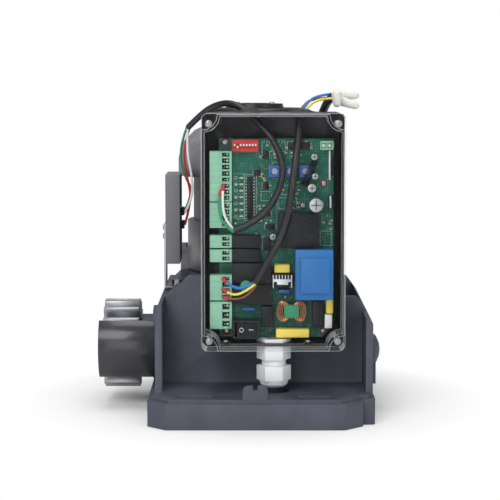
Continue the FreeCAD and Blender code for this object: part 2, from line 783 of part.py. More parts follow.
def clutch_ring():
    """Dog ring that slides on the splines, with the groove of the shift fork."""
    body = new_body("clutch_ring")
    bore = "shaft_diameter / 2 + running_gap"
    end = "clutch_left + clutch_length"
    turned(body, "X", shaft_line, [
        ("clutch_left", bore), (end, bore), (end, "clutch_radius"),
        ("groove_start + groove_width", "clutch_radius"), ("groove_start + groove_width", "groove_radius"),
        ("groove_start", "groove_radius"), ("groove_start", "clutch_radius"), ("clutch_left", "clutch_radius"),
    ])
    high = "(shaft_diameter / 2 + spline_rise + sliding_gap)"
    block(body, ("clutch_left - 1", f"{end} + 1"), ("-spline_width / 2 - sliding_gap", "spline_width / 2 + sliding_gap"),
          (f"output_height - {high}", f"output_height + {high}"), cut=True)
    for turn in range(45, 405, 90):
        wide = "(dog_width / 2 + sliding_gap)"
        points = []
        for along, across in (("dog_inner - sliding_gap", f"-{wide}"), ("clutch_radius + 1", f"-{wide}"),
                              ("clutch_radius + 1", wide), ("dog_inner - sliding_gap", wide)):
            points.append((f"({along}) * cos({turn}) - ({across}) * sin({turn})",
                           f"output_height + ({along}) * sin({turn}) + ({across}) * cos({turn})"))
        prism(body, "X", points, "clutch_left - 1", "clutch_left + dog_height + sliding_gap", cut=True)


def clutch_spring():
    """Spring that keeps the clutch in mesh, as closed turns between the ring and the right bearing."""
    body = new_body("clutch_spring")
    first = "clutch_left + clutch_length + sliding_gap"
    last = "chamber_right - sliding_gap - spring_wire"
    inner = "shaft_diameter / 2 + spline_rise + 1.3"
    for turn in range(4):
        start = f"({first}) + (({last}) - ({first})) * {turn} / 3"
        prism(body, "X", polygon(*shaft_line, f"{inner} + spring_wire", 12), start, f"{start} + spring_wire")
    prism(body, "X", polygon(*shaft_line, inner, 12), f"{first} - 1", f"{last} + spring_wire + 1", cut=True)


def shift_fork():
    """Fork that follows the release shaft and moves the clutch ring."""
    body = new_body("shift_fork")
    line = ("-release_offset", "output_height")
    ring(body, "X", shaft_line, "groove_radius + sliding_gap", "groove_radius + sliding_gap + fork_width",
         "fork_left", "fork_right")
    block(body, ("fork_left - 1", "fork_right + 1"), ("4", "clutch_radius + 10"),
          ("output_height - clutch_radius - 10", "output_height + clutch_radius + 10"), cut=True)
    block(body, ("fork_left", "fork_right"), ("-release_offset", "-groove_radius - 2"),
          ("output_height - 5", "output_height + 5"))
    rod(body, "X", line, "release_radius + 3", "fork_left", "fork_right + 6")
    rod(body, "X", line, "release_radius + running_gap", "fork_left - 1", "fork_right + 7", cut=True)


def release_lever():
    """Release shaft with its domed hub and hanging handle on the right side."""
    body = new_body("release_lever")
    line = ("-release_offset", "output_height")
    turned(body, "X", line, [
        ("fork_left - 2", 0), ("lever_left + lever_dome", 0), ("lever_left + lever_dome - 1", "lever_hub * 0.45"),
        ("lever_left + lever_dome - 3.5", "lever_hub * 0.85"), ("lever_left + 3", "lever_hub"),
        ("lever_left", "lever_hub"), ("lever_left", "release_radius"), ("fork_left - 2", "release_radius"),
    ])
    y = "-release_offset"
    block(body, ("lever_left", "lever_left + lever_thick"), (f"{y} - lever_width / 2", f"{y} + lever_width / 2"),
          ("output_height - lever_reach", "output_height"))


def motor_shaft():
    """Motor shaft with the single-start worm cut on its lower part."""
    lead = number("worm_module") * math.pi
    axis_y = number("worm_distance")
    centre = number("output_height")
    long = number("worm_length")
    root = number("worm_root")
    tip = number("worm_diameter / 2 + worm_module")
    bottom = number("cover_top + 1")
    bore = number("motor_bearing_bore / 2")
    parts = [
        Part.makeCylinder(bore, number("bell_top") - 3 - bottom, Vector(0, 0, bottom)),
        Part.makeCylinder(root, long, Vector(0, 0, centre - long / 2)),
        Part.makeCylinder(bore + 2, number("seat_top") - centre - long / 2 - 4, Vector(0, 0, centre + long / 2)),
    ]
    slant = math.tan(math.radians(number("pressure_angle")))
    play = number("tooth_play") * 0.2
    depth = tip - root
    half_tip = lead / 4 - number("worm_module") * slant - play
    half_root = half_tip + (depth + 0.4) * slant
    turns = int(long / lead) - 1
    start = centre - 0.25 * lead - (turns // 2) * lead
    helix = Part.makeHelix(lead, turns * lead, root)
    helix.translate(Vector(0, 0, start))
    corners = [
        Vector(root - 0.4, 0, start - half_root), Vector(tip, 0, start - half_tip),
        Vector(tip, 0, start + half_tip), Vector(root - 0.4, 0, start + half_root),
    ]
    section = Part.makePolygon(corners + [corners[0]])
    thread = Part.Wire(helix.Edges).makePipeShell([section], True, True)
    shape = parts[0].fuse(parts[1:]).fuse(thread).removeSplitter()
    shape.translate(Vector(0, axis_y, 0))
    shaped("motor_shaft", shape)


def motor_bearings():
    body = new_body("motor_bearings")
    bore = "(motor_bearing_bore + 2 * running_gap)"
    for start in ("cover_top + 1", "seat_top + 1.5", "bell_top - 5 - motor_bearing_width"):
        bearing(body, "Z", motor_line, bore, "motor_bearing_diameter", start, "motor_bearing_width")


def motor_lower_bell():
    """Lower end bell: spigot in the casting, bearing seat and four ears for its screws."""
    body = new_body("motor_lower_bell")
    seat = "motor_bearing_diameter / 2"
    turned(body, "Z", motor_line, [
        ("seat_top - spigot_length", "motor_bearing_bore / 2 + 3"),
        ("seat_top + 1.5", "motor_bearing_bore / 2 + 3"),
        ("seat_top + 1.5", seat), ("seat_top + 1.5 + motor_bearing_width", seat),
        ("seat_top + 1.5 + motor_bearing_width", f"{seat} + 4"), ("seat_top + bell_plate", f"{seat} + 4"),
        ("seat_top + bell_plate", "bell_bore"), ("stator_bottom", "bell_bore"),
        ("stator_bottom", "seat_radius"), ("seat_top + 3", "seat_radius"), ("seat_top", "seat_radius - 3"),
        ("seat_top", "spigot_radius - running_gap"),
        ("seat_top - spigot_length", "spigot_radius - running_gap"),
    ])
    half = "ear_size / 2"
    for x, y in ears:
        block(body, (f"{x} - {half}", f"{x} + {half}"),
              (f"worm_distance + {y} - {half}", f"worm_distance + {y} + {half}"),
              ("seat_top", "ear_top"))
    for place in ear_screws:
        screw_hole(body, "Z", place, "ear_screw + sliding_gap", "seat_top - 1", "ear_top + 1")


def motor_upper_bell():
    """Upper end bell, a cast dome open at the top for the bearing seat."""
    body = new_body("motor_upper_bell")
    seat = "motor_bearing_diameter / 2"
    top = "bell_top - 5"
    turned(body, "Z", motor_line, [
        ("stator_top", "bell_bore"), ("bell_top - bell_plate", "bell_bore"),
        ("bell_top - bell_plate", f"{seat} + 4"), (f"{top} - motor_bearing_width", f"{seat} + 4"),
        (f"{top} - motor_bearing_width", seat), (top, seat), (top, "motor_bearing_bore / 2 + 3"),
        ("bell_top", "motor_bearing_bore / 2 + 3"), ("bell_top", "cap_radius + 4"),
        ("bell_top - 3", "upper_bell_radius - 15"), ("bell_top - 13", "upper_bell_radius - 5"),
        ("bell_top - 28", "upper_bell_radius"), ("stator_top", "upper_bell_radius"),
    ])
    for place in cap_screws:
        screw_hole(body, "Z", place, "1.43", f"{top} - 1", "bell_top + 1")


def stator():
    body = new_body("stator_core")
    ring(body, "Z", motor_line, "stator_bore", "stator_radius", "stator_bottom", "stator_top")
    body = new_body("stator_windings")
    for start, end in (("stator_bottom - winding_height", "stator_bottom"),
                       ("stator_top", "stator_top + winding_height")):
        ring(body, "Z", motor_line, "winding_inner", "winding_outer", start, end)


def rotor_core():
    body = new_body("rotor_core")
    ring(body, "Z", motor_line, "motor_bearing_bore / 2", "stator_bore - rotor_gap",
         "stator_bottom + 1", "stator_top - 1")


def motor_cap():
    """Round plastic cap over the upper bell, with a raised middle."""
    body = new_body("motor_cap")
    top = "bell_top + cap_height"
    turned(body, "Z", motor_line, [
        ("bell_top", "cap_radius"), (f"{top} - 2", "cap_radius"), (top, "cap_radius - 2"),
        (top, "cap_crown_radius"), ("cap_top", "cap_crown_radius - 1"), ("cap_top", 0),
        ("cap_top - cap_wall", 0), (f"{top} - cap_wall", "cap_radius - cap_wall"),
        ("bell_top", "cap_radius - cap_wall"),
    ])
    for place in cap_screws:
        screw_hole(body, "Z", place, "1.7", "bell_top", "cap_top + 1")


def scooped(inset, depth_of_scoop="window_scoop"):
    """Front outline of the box inside its four screw posts, with a hollow curve at each corner."""
    points = []
    corners = [(-1, -1, 90), (1, -1, 180), (1, 1, 270), (-1, 1, 0)]
    for side, level, start in corners:
        x = f"box_shift + {side} * (box_width / 2 - {inset})"
        z = f"box_bottom + box_height / 2 + {level} * (box_height / 2 - {inset})"
        for step in range(5):
            turn = start - 22.5 * step
            points.append((f"{x} + ({depth_of_scoop}) * cos({turn})", f"{z} + ({depth_of_scoop}) * sin({turn})"))
    return points


def box_outline(inset):
    left, right = f"box_left + {inset}", f"box_right - {inset}"
    low, high = f"box_bottom + {inset}", f"box_top - {inset}"
    return [(left, low), (right, low), (right, high), (left, high)]


def round_corners(body, start, end, radius="box_corner"):
    """Fillets on the long edges at the four outer corners of the box."""
    places = [(number(x), number(z)) for x, z in box_outline("0")]

    def at_corner(first, second):
        here = any(math.hypot(first.x - x, first.z - z) < 0.01 for x, z in places)
        return here and math.hypot(first.x - second.x, first.z - second.z) < 0.01

    soften(body, edges_where(body, at_corner), radius)


lid_screw_places = around("box_shift", "box_bottom + box_height / 2",
                          ("box_width / 2 - corner_post", "box_height / 2 - corner_post - 2"))
board_screw_places = [("5", "167"), ("89.2", "131.8"), ("6.2", "5.2"), ("89.1", "5.2")]
grommet_places = [("-4.4", "-86"), ("38.3", "-86")]


def on_board(left, bottom):
    return f"board_left + {left}", f"board_bottom + {bottom}"


def box_body():
    """Back shell of the control box, with solid corner posts and standoffs for the board."""
    body = new_body("box_body")
    front = "lid_back + gasket_width / 2"
    prism(body, "Y", box_outline("0"), front, "box_back")
    round_corners(body, front, "box_back")
    prism(body, "Y", scooped("box_wall", "window_scoop - 1"), f"{front} - 1", "box_back - box_wall", cut=True)
    for left, bottom in board_screw_places:
        x, z = on_board(left, bottom)
        prism(body, "Y", polygon(x, z, "standoff_radius", 8), "board_back", "box_back - 1")
        screw_hole(body, "Y", (x, z), "1.5", "board_back - 1", "board_back + 10")
    for place in box_posts:
        screw_hole(body, "Y", place, "screw_radius + sliding_gap", "box_back - box_wall - 1", "box_back + 1")
    for place in lid_screw_places:
        screw_hole(body, "Y", place, "1.7", f"{front} - 1", f"{front} + 20")
    rod(body, "Z", ("gland_x", "gland_y"), "gland_thread + 0.2", "box_bottom - 1", "box_floor + 1", cut=True)
    for x, y in grommet_places:
        rod(body, "Z", (x, y), "grommet_radius - 4", "box_top - box_wall - 1", "box_top + 1", cut=True)


def box_lid():
    """Clear lid: a deep skirt and a raised window that curves in round the screws."""
    body = new_body("box_lid")
    back = "lid_back - gasket_width / 2"
    prism(body, "Y", box_outline("0"), "lid_front + window_rise", back)
    round_corners(body, "lid_front + window_rise", back)
    prism(body, "Y", scooped("0.8"), "lid_front", "lid_front + window_rise + 1")
    prism(body, "Y", scooped("box_wall"), "lid_front + box_wall", "lid_back", cut=True)
    for place in lid_screw_places:
        screw_hole(body, "Y", place, "screw_radius + sliding_gap", "lid_front", "lid_back + 1")


def lid_gasket():
    """Soft cord between lid and body, outside the opening."""
    body = new_body("lid_gasket")
    start, end = "lid_back - gasket_width / 2", "lid_back + gasket_width / 2"
    prism(body, "Y", box_outline("1"), start, end)
    prism(body, "Y", scooped("box_wall"), f"{start} - 1", f"{end} + 1", cut=True)
    for place in lid_screw_places:
        screw_hole(body, "Y", place, "screw_radius + sliding_gap", f"{start} - 1", f"{end} + 1")


def rubber_bushes():
    """Two domed grommets in the top of the box and the sealing ring inside the gland."""
    body = new_body("rubber_bushes")
    for x, y in grommet_places:
        turned(body, "Z", (x, y), [
            ("box_top - box_wall - 1.5", "grommet_bore"), ("box_top + grommet_rise", "grommet_bore"),
            ("box_top", "grommet_radius"), ("box_top", "grommet_radius - 4.1"),
            ("box_top - box_wall - 1.5", "grommet_radius - 4.1"),
        ])
    for radius, cut in (("gland_thread - 2.2", False), ("gland_bore - 2", True)):
        outline = polygon("gland_x", "gland_y", radius, 12)
        prism(body, "Z", outline, "gland_nut_bottom + 1", "gland_nut_top - 1", cut)


def gland_parts():
    """Cable gland under the box: body, dome nut and lock nut."""
    line = ("gland_x", "gland_y")
    body = new_body("gland_body")
    prism(body, "Z", hexagon(*line, "gland_flats"), "gland_neck_top", "box_bottom")
    rod(body, "Z", line, "gland_thread", "box_bottom - 1", "box_floor + locknut_thick")
    rod(body, "Z", line, "gland_thread", "gland_nut_bottom + 1", "gland_neck_top + 1")
    rod(body, "Z", line, "gland_thread - 2", "gland_nut_bottom", "box_floor + locknut_thick + 1", cut=True)
    body = new_body("gland_dome_nut")
    prism(body, "Z", hexagon(*line, "gland_flats"), "gland_nut_bottom", "gland_nut_top")
    turned(body, "Z", line, [
        ("gland_nut_bottom + 1", 0), ("gland_nut_bottom", "gland_flats / 2"),
        ("gland_nut_bottom - gland_dome * 0.55", "gland_flats / 2 - 1"),
        ("gland_nut_bottom - gland_dome * 0.9", "gland_flats / 2 - 3.5"), ("gland_tip", "gland_flats / 2 - 5.5"),
        ("gland_tip", 0),
    ])
    rod(body, "Z", line, "gland_thread + 0.1", "gland_nut_bottom + 0.9", "gland_nut_top + 1", cut=True)
    rod(body, "Z", line, "gland_bore", "gland_tip - 1", "gland_nut_top", cut=True)
    body = new_body("gland_locknut")
    prism(body, "Z", hexagon(*line, "gland_flats"), "box_floor", "box_floor + locknut_thick")
    rod(body, "Z", line, "gland_thread + 0.1", "box_floor - 1", "box_floor + locknut_thick + 1", cut=True)


def component(body, left, bottom, width, height, depth):
    """A block soldered on the front of the board, placed from the board's lower left corner."""
    x, z = on_board(left, bottom)
    block(body, (x, f"{x} + {width}"), (f"board_face - {depth}", "board_face"), (z, f"{z} + {height}"))


def can(body, left, bottom, radius, depth):
    """A round capacitor standing on the board."""
    prism(body, "Y", polygon(*on_board(left, bottom), radius, 12), f"board_face - {depth}", "board_face")


terminal_rows = [(132.9, 5), (117.4, 3), (95, 4), (78, 2), (65.9, 2), (33.2, 4)]
terminal_pitch = 5.4
relay_blocks = [
    (11, 77.9, 23.9, 10.9, 12), (11, 65.9, 23.9, 11, 12), (11.4, 47.6, 33, 17.1, 12), (44.8, 47.6, 19.4, 8.4, 12),
    (50.5, 78.3, 34.4, 29.2, 14), (35.9, 9.5, 10.2, 18.2, 11), (79.4, 9.5, 8.8, 23.4, 11),
    (23.8, 100.9, 5.2, 36.7, 3.5), (11.4, 29.5, 33, 16.8, 12),
]
film_blocks = [(46.9, 56.4, 13.5, 7.3, 11), (48.4, 0.8, 28.5, 7.6, 12), (91, 21.4, 6.3, 13, 11)]
round_cans = [(80.8, 154.8, 3.2, 8), (81.6, 138.4, 3.1, 8), (78.7, 128.6, 4.4, 12), (82, 114.8, 7.1, 20),
              (71.4, 113.9, 2.1, 6), (46, 86.9, 3.2, 8)]


def board_parts():
    """Printed circuit board and what is soldered to it."""
    body = new_body("circuit_board")
    left, low = on_board(0, 0)
    right, high = on_board("board_width", "board_height")
    outline = [(left, low), (f"{right} - 8.5", low), (right, f"{low} + 10"), (right, high), (left, high)]
    prism(body, "Y", outline, "board_face", "board_back")
    for place in board_screw_places:
        screw_hole(body, "Y", on_board(*place), 1.7, "board_face - 1", "board_back + 1")
    body = new_body("terminal_blocks")
    for bottom, ways in terminal_rows:
        component(body, -7.8, bottom, 18.8, terminal_pitch * ways, 13)
    component(body, -7.8, 8.6, 18.8, 23.4, 13)
    component(body, 85.7, 160.8, 11.4, 7.4, 9)
    body = new_body("relays")
    for places in relay_blocks:
        component(body, *places)
    body = new_body("transformer")
    component(body, 64.6, 34.6, 32, 42.6, 22)
    component(body, 68.6, 40.2, 25, 30.1, 25)
    body = new_body("capacitors")
    for places in film_blocks:
        component(body, *places)
    for places in round_cans:
        can(body, *places)
    body = new_body("choke")
    component(body, 55, 18.2, 13.3, 11.2, 15)
    component(body, 50, 16.5, 5, 15, 13)
    component(body, 68.3, 16.5, 5, 15, 13)


switch_left, switch_bottom, switch_width, switch_height, switch_depth = 11.1, 158.9, 22.3, 10.4, 7
slider_pitch, slider_width, slider_height, slider_travel = 2.54, 1.3, 1.7, 1.7


def dip_switch():
    """Eight-way switch: a body with eight slots and a slider in each, the second one down."""
    body = new_body("dip_switch")
    component(body, switch_left, switch_bottom, switch_width, switch_height, switch_depth)
    face = f"board_face - {switch_depth}"
    middle = switch_bottom + switch_height / 2
    for index in range(8):
        left = switch_left + switch_width / 2 + (index - 3.5) * slider_pitch - slider_width / 2
        low = middle - slider_height - 0.1
        x, z = on_board(left, low)
        block(body, (f"{x} - 0.15", f"{x} + {slider_width} + 0.15"), (f"{face} - 1", f"{face} + 2"),
              (f"{z} - 0.15", f"{z} + {slider_height + slider_travel} + 0.15"), cut=True)
        start = 0 if index == 1 else slider_travel
        slider = new_body(f"dip_slider_{index + 1}")
        block(slider, (x, f"{x} + {slider_width}"), (f"{face} - 0.6", f"{face} + 1.95"),
              (f"{z} + {start}", f"{z} + {start + slider_height}"))


trimmer_places = [(42.1, 137.3), (55.3, 137.3), (68.1, 137.3)]
trimmer_size, trimmer_depth, trimmer_rotor = 10.4, 6, 2.6


def trimmers():
    """Three adjusters, each with a slotted rotor in a round well."""
    body = new_body("trimmers")
    face = f"board_face - {trimmer_depth}"
    for index, (left, bottom) in enumerate(trimmer_places, 1):
        component(body, left, bottom, trimmer_size, trimmer_size, trimmer_depth)
        centre = on_board(left + trimmer_size / 2, bottom + trimmer_size / 2)
        prism(body, "Y", polygon(*centre, trimmer_rotor + 0.2, 12), f"{face} - 1", f"{face} + 1.6", cut=True)
        rotor = new_body(f"trimmer_rotor_{index}")
        rod(rotor, "Y", centre, trimmer_rotor, f"{face} - 0.2", f"{face} + 1.55")
        x, z = centre
        block(rotor, (f"{x} - 2", f"{x} + 2"), (f"{face} - 1", f"{face} + 0.6"), (f"{z} - 0.35", f"{z} + 0.35"), cut=True)


rocker_left, rocker_bottom, rocker_width, rocker_height, rocker_depth = 11.8, 0.8, 21.8, 15.7, 18
rocker_wall, rocker_swing = 1.6, 20


def rocker_switch():
    """Power switch: a frame on the board and a rocker that tips about an upright pin."""
    body = new_body("rocker_frame")
    component(body, rocker_left, rocker_bottom, rocker_width, rocker_height, rocker_depth)
    x, z = on_board(rocker_left, rocker_bottom)
    face = f"board_face - {rocker_depth}"
    pivot = (f"{x} + {rocker_width / 2}", f"{face} + 3")
    inner_low, inner_high = f"{z} + {rocker_wall}", f"{z} + {rocker_height - rocker_wall}"
    block(body, (f"{x} + {rocker_wall}", f"{x} + {rocker_width - rocker_wall}"), (f"{face} - 1", f"{face} + 9"),
          (inner_low, inner_high), cut=True)
    rod(body, "Z", pivot, 1.53, f"{inner_low} - 1", f"{inner_high} + 1", cut=True)
    rocker = new_body("rocker")
    half = rocker_width / 2 - rocker_wall - 1
    tilt = math.radians(rocker_swing / 2)
    horn = -2.6 - half * math.tan(tilt)
    outline = []
    for across, along in ((-half, horn), (0, -2.6), (half, horn), (half, -0.5), (0, 2), (-half, -0.5)):
        turned_x = across * math.cos(tilt) - along * math.sin(tilt)
        turned_y = across * math.sin(tilt) + along * math.cos(tilt)
        outline.append((f"{pivot[0]} + {turned_x:.3f}", f"{pivot[1]} + {turned_y:.3f}"))
    prism(rocker, "Z", outline, f"{inner_low} + 0.3", f"{inner_high} - 0.3")
    rod(rocker, "Z", pivot, 1.5, f"{inner_low} - 0.9", f"{inner_high} + 0.9")


def limit_switch():
    """Magnetic limit switch: box open to the right, its board, and the bracket on the shoulder."""
    body = new_body("limit_box")
    block(body, ("limit_left", "limit_right"), ("limit_front", "limit_back"), ("limit_bottom", "limit_top"))
    block(body, ("limit_left + limit_wall", "limit_right + 1"),
          ("limit_front + limit_wall", "limit_back - limit_wall"),
          ("limit_bottom + limit_wall", "limit_top - limit_wall"), cut=True)
    for place in limit_screws:
        screw_hole(body, "X", place, 1.5, "limit_left - 1", "limit_left + 3")
    board = new_body("limit_board")
    y = ("limit_front + limit_wall + sliding_gap", "limit_back - limit_wall - sliding_gap")
    z = ("limit_bottom + limit_wall + sliding_gap", "limit_top - limit_wall - sliding_gap")
    block(board, ("limit_right - 5", "limit_right - 3.4"), y, z)
    for corner_y in ("limit_front + 6", "limit_back - 6"):
        for corner_z in ("limit_bottom + 6", "limit_top - 6"):
            prism(board, "X", polygon(corner_y, corner_z, 2.5), "limit_left + limit_wall", "limit_right - 5")
    for low, high in ((170, 177), (158, 165)):
        block(board, ("limit_right - 4", "limit_right + 3.5"), ("limit_front + 7", "limit_front + 19"), (low, high))
    bracket = new_body("limit_bracket")
    half = "bracket_width / 2"
    wide = (f"limit_middle - {half}", f"limit_middle + {half}")
    left = "limit_left - bracket_thick"
    block(bracket, (left, "limit_left"), wide, ("bracket_foot", "bracket_top"))
    block(bracket, (left, f"{left} + bracket_reach"), wide, ("bracket_foot", "bracket_foot + bracket_thick"))
    screw_hole(bracket, "Z", bracket_bolt, "2.7", "bracket_foot - 1", "bracket_foot + 3")
    for place in limit_screws:
        screw_hole(bracket, "X", place, 1.7, f"{left} - 1", "limit_left + 1")


def pinion_guard():
    """Curved plastic guard in front of the pinion, with an inner flange on the casting."""
    body = new_body("pinion_guard")
    line = ("-guard_shift", "output_height")
    rod(body, "X", line, "guard_radius", "guard_left", "left_wall")
    rod(body, "X", line, "guard_radius - guard_wall", "guard_left - 1", "left_wall - guard_wall", cut=True)
    rod(body, "X", line, "guard_radius - guard_wall - guard_flange", "left_wall - guard_wall - 1", "left_wall + 1", cut=True)
    wide = ("guard_left - 2", "left_wall + 2")
    block(body, wide, ("-guard_shift - 0.577 * guard_radius", "guard_radius"),
          ("output_height - guard_radius - 1", "output_height + guard_radius + 1"), cut=True)
    for low, high in (("guard_half_height", "guard_radius + 1"), ("-guard_radius - 1", "-guard_half_height")):
        block(body, wide, ("-guard_shift - guard_radius - 1", "guard_radius"),
              (f"output_height + {low}", f"output_height + {high}"), cut=True)


def screw(body, axis, centre, seat, way, head, thick, shank, long):
    """A plain screw: its head stands out from the seat on the side given by way, its shank goes in."""
    top = f"({seat}) + {way} * ({thick})"
    end = f"({seat}) - {way} * ({long})"
    if way > 0:
        spans = ((head, seat, top), (shank, end, seat))
    else:
        spans = ((head, top, seat), (shank, seat, end))
    for radius, low, high in spans:
        prism(body, axis, polygon(*centre, radius), low, high)


def fasteners():
    """Pan-head screws of the box, board and limit switch, and the cap-head screws of the castings."""
    body = new_body("pan_head_screws")
    for x, z in lid_screw_places:
        screw(body, "Y", (x, z), "lid_front + window_rise", -1, 3, 2, 1.65, "lid_depth + 10")
    for place in board_screw_places:
        screw(body, "Y", on_board(*place), "board_face", -1, 2.8, 1.6, 1.4, 8)
    for place in box_posts:
        screw(body, "Y", place, "box_back - box_wall", -1, 3.5, 2.2, "screw_radius - running_gap", 9)
    for place in limit_screws:
        screw(body, "X", place, "limit_left - bracket_thick", -1, 2.8, 1.8, 1.45, 4)
    for place in cap_screws:
        screw(body, "Z", place, "cap_top", 1, 2.6, 1.6, 1.4, "cap_height + cap_crown + 4")
    body = new_body("cap_head_screws")
    for place in collar_screws:
        screw(body, "X", place, "collar_face", -1, 2.6, 0.8, 1.5, 9)
    for x, y in tie_places:
        prism(body, "Z", polygon(x, f"worm_distance + {y}", 2.5), "stator_bottom", "stator_top")
    for place in ear_screws:
        screw(body, "Z", place, "ear_top", 1, 3.2, 4, "ear_screw", "ear_height + 12")
    screw(body, "Z", bracket_bolt, "bracket_foot + bracket_thick", 1, 4.3, 4.5, 2.4, 8)
    for place in cover_screws:
        screw(body, "Z", place, "cover_rise", -1, 2.4, 2.5, "cover_screw", 14)


def tube(label, route, radius, sides=8):
    """A cable along straight runs joined by tangent arcs as large as the runs allow."""
    points = [Vector(*place) for place in route]
    edges = []
    start = points[0]
    radii = []
    for before, corner, after in zip(points, points[1:], points[2:]):
        back, ahead = (before - corner), (after - corner)
        reach = 0.45 * min(back.Length, ahead.Length)
        back.normalize()
        ahead.normalize()
        half = math.acos(max(-1, min(1, back.dot(ahead)))) / 2
        bend = reach * math.tan(half)
        radii.append(bend)
        first, last = corner + back * reach, corner + ahead * reach
        bisector = (back + ahead).normalize()
        middle = corner + bisector * (bend / math.sin(half) - bend)
        edges.append(Part.LineSegment(start, first).toShape())
        edges.append(Part.Arc(first, middle, last).toShape())
        start = last
    edges.append(Part.LineSegment(start, points[-1]).toShape())
    path = Part.Wire(edges)
    frame = Rotation(Vector(0, 0, 1), points[1] - points[0])
    turns = [math.tau * (side + 0.5) / sides for side in range(sides)]
    rim = [points[0] + frame.multVec(Vector(math.cos(turn), math.sin(turn), 0) * radius) for turn in turns]
    section = Part.makePolygon(rim + [rim[0]])
    solid = path.makePipeShell([section], True, True)
    share = solid.Volume / (Part.Face(section).Area * path.Length)
    print(f"{label}: length {path.Length:.0f}, volume ratio {share:.3f}, radii", [round(bend, 1) for bend in radii])
    return solid


limit_cable_route = [
    (-18, -106, 164), (-5, -106, 169), (10, -107, 181), (21, -107, 199), (24, -106, 219), (16, -100, 240),
    (4, -92, 253), (-8, -85, 265), (-22, -75, 272), (-37, -56, 268), (-49, -38, 259), (-59, -20, 249),
]
motor_cable_route = [
    (0, -107, 120), (11, -109, 139), (21, -110, 158), (28, -110, 180), (31, -110, 202), (34, -106, 224),
    (37, -97, 244), (38, -88, 262),
]
motor_lead_route = [(54, 11, 226), (54, -4, 227), (54, -18, 233), (55, -30, 244), (57, -42, 256), (60, -54, 266),
                    (63, -66, 273), (65.5, -78, 276)]
wire_routes = [
    [(-18, -105, 165), (-25, -107, 172), (-28, -108, 188), (-27, -104, 202)],
    [(-18, -107, 163), (-28, -109, 170), (-31, -109, 186), (-29, -104, 197)],
    [(-60.5, -17.6, 249), (-68, -12, 230), (-64, -9, 206), (-55, -9, 190), (-63, -12, 174)],
    [(-58, -18.4, 249), (-64, -16, 230), (-62, -14, 208), (-56, -14, 184), (-63, -15, 161)],
    [(-59.6, -20.6, 248), (-61, -20, 228), (-56, -19, 204), (-56, -18, 184), (-63, -17, 172)],
    [(0, -106, 121), (-9, -107, 115), (-20, -107, 116), (-27, -104, 123)],
    [(0, -108, 119), (-9, -109, 112), (-20, -108, 109), (-27, -104, 114)],
    [(1, -106, 118), (-6, -106, 109), (-17, -106, 105), (-26, -104, 107)],
    [(39, -86, 263), (44, -84, 272), (54, -81, 278), (68, -73, 279)],
    [(40, -88.6, 262), (46, -87, 270), (56, -85, 275), (69, -82, 275)],
    [(37, -85, 263), (43, -81, 272), (52, -77, 275), (68, -72, 276)],
]
cap_radius = 4.3
cap_lines = [((67, -72, 278.5), (89, -72, 277)), ((68, -81, 274.5), (88.5, -84, 268)),
             ((68.6, -91, 280), (69.3, -93.5, 268))]


def cables():
    """Sheathed cables, single wires and the closed-end caps that join the motor leads."""
    shaped("limit_cable", tube("limit_cable", limit_cable_route, 2.8))
    shaped("motor_cable", tube("motor_cable", motor_cable_route, 3.2))
    shaped("motor_lead", tube("motor_lead", motor_lead_route, 3.6))
    shaped("cable_wires", Part.makeCompound([tube("wire", route, 1.1, 5) for route in wire_routes]))
    caps = [tube("crimp cap", (start, end), cap_radius) for start, end in cap_lines]
    shaped("crimp_caps", Part.makeCompound(caps))


base_casting()
gearbox_cover()
output_bearings()
bearing_housing()
output_seal()
output_shaft()
pinion()
pinion_fixings()
worm_wheel()
clutch_ring()
clutch_spring()
shift_fork()
release_lever()
motor_shaft()
motor_bearings()
motor_lower_bell()
motor_upper_bell()
stator()
rotor_core()
motor_cap()
box_body()
box_lid()
lid_gasket()
rubber_bushes()
gland_parts()
board_parts()
dip_switch()
trimmers()
rocker_switch()
limit_switch()
pinion_guard()
fasteners()
cables()
document.recompute()

faults = [item.Name for item in document.Objects if "Invalid" in item.State or "Error" in item.State]
if faults:
    raise RuntimeError(f"these objects failed: {faults}")
pieces = [item for item in document.Objects if item.TypeId in ("PartDesign::Body", "Part::Feature")]
for piece in pieces:
    if piece.Shape.isNull() or not piece.Shape.isValid() or not piece.Shape.Solids:
        raise RuntimeError(f"{piece.Label} has no valid solid")
os.makedirs("parts", exist_ok=True)
for piece in pieces:
    piece.Shape.exportStep(f"parts/{piece.Label}.step")
print(len(pieces), "sub-parts written")
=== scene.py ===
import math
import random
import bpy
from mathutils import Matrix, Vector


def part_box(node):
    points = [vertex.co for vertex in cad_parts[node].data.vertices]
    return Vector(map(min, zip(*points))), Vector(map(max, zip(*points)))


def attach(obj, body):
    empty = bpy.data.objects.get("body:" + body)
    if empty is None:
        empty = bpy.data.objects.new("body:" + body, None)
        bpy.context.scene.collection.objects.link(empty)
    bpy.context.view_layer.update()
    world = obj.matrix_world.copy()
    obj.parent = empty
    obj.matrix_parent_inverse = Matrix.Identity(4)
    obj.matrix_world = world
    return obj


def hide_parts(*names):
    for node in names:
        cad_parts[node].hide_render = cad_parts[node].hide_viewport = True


bl_info = {
    "name": "Sliding gate motor",
    "version": (1, 0, 0),
    "blender": (4, 5, 0),
    "location": "View3D > Sidebar > Gate motor",
    "description": "Finishes and fine detail for the sliding gate motor",
    "category": "Object",
}

from contextlib import contextmanager
from functools import partial

import bpy
from bpy.props import FloatProperty, FloatVectorProperty, PointerProperty
from bpy.types import Operator, Panel, PropertyGroup
from mathutils import Matrix, Vector

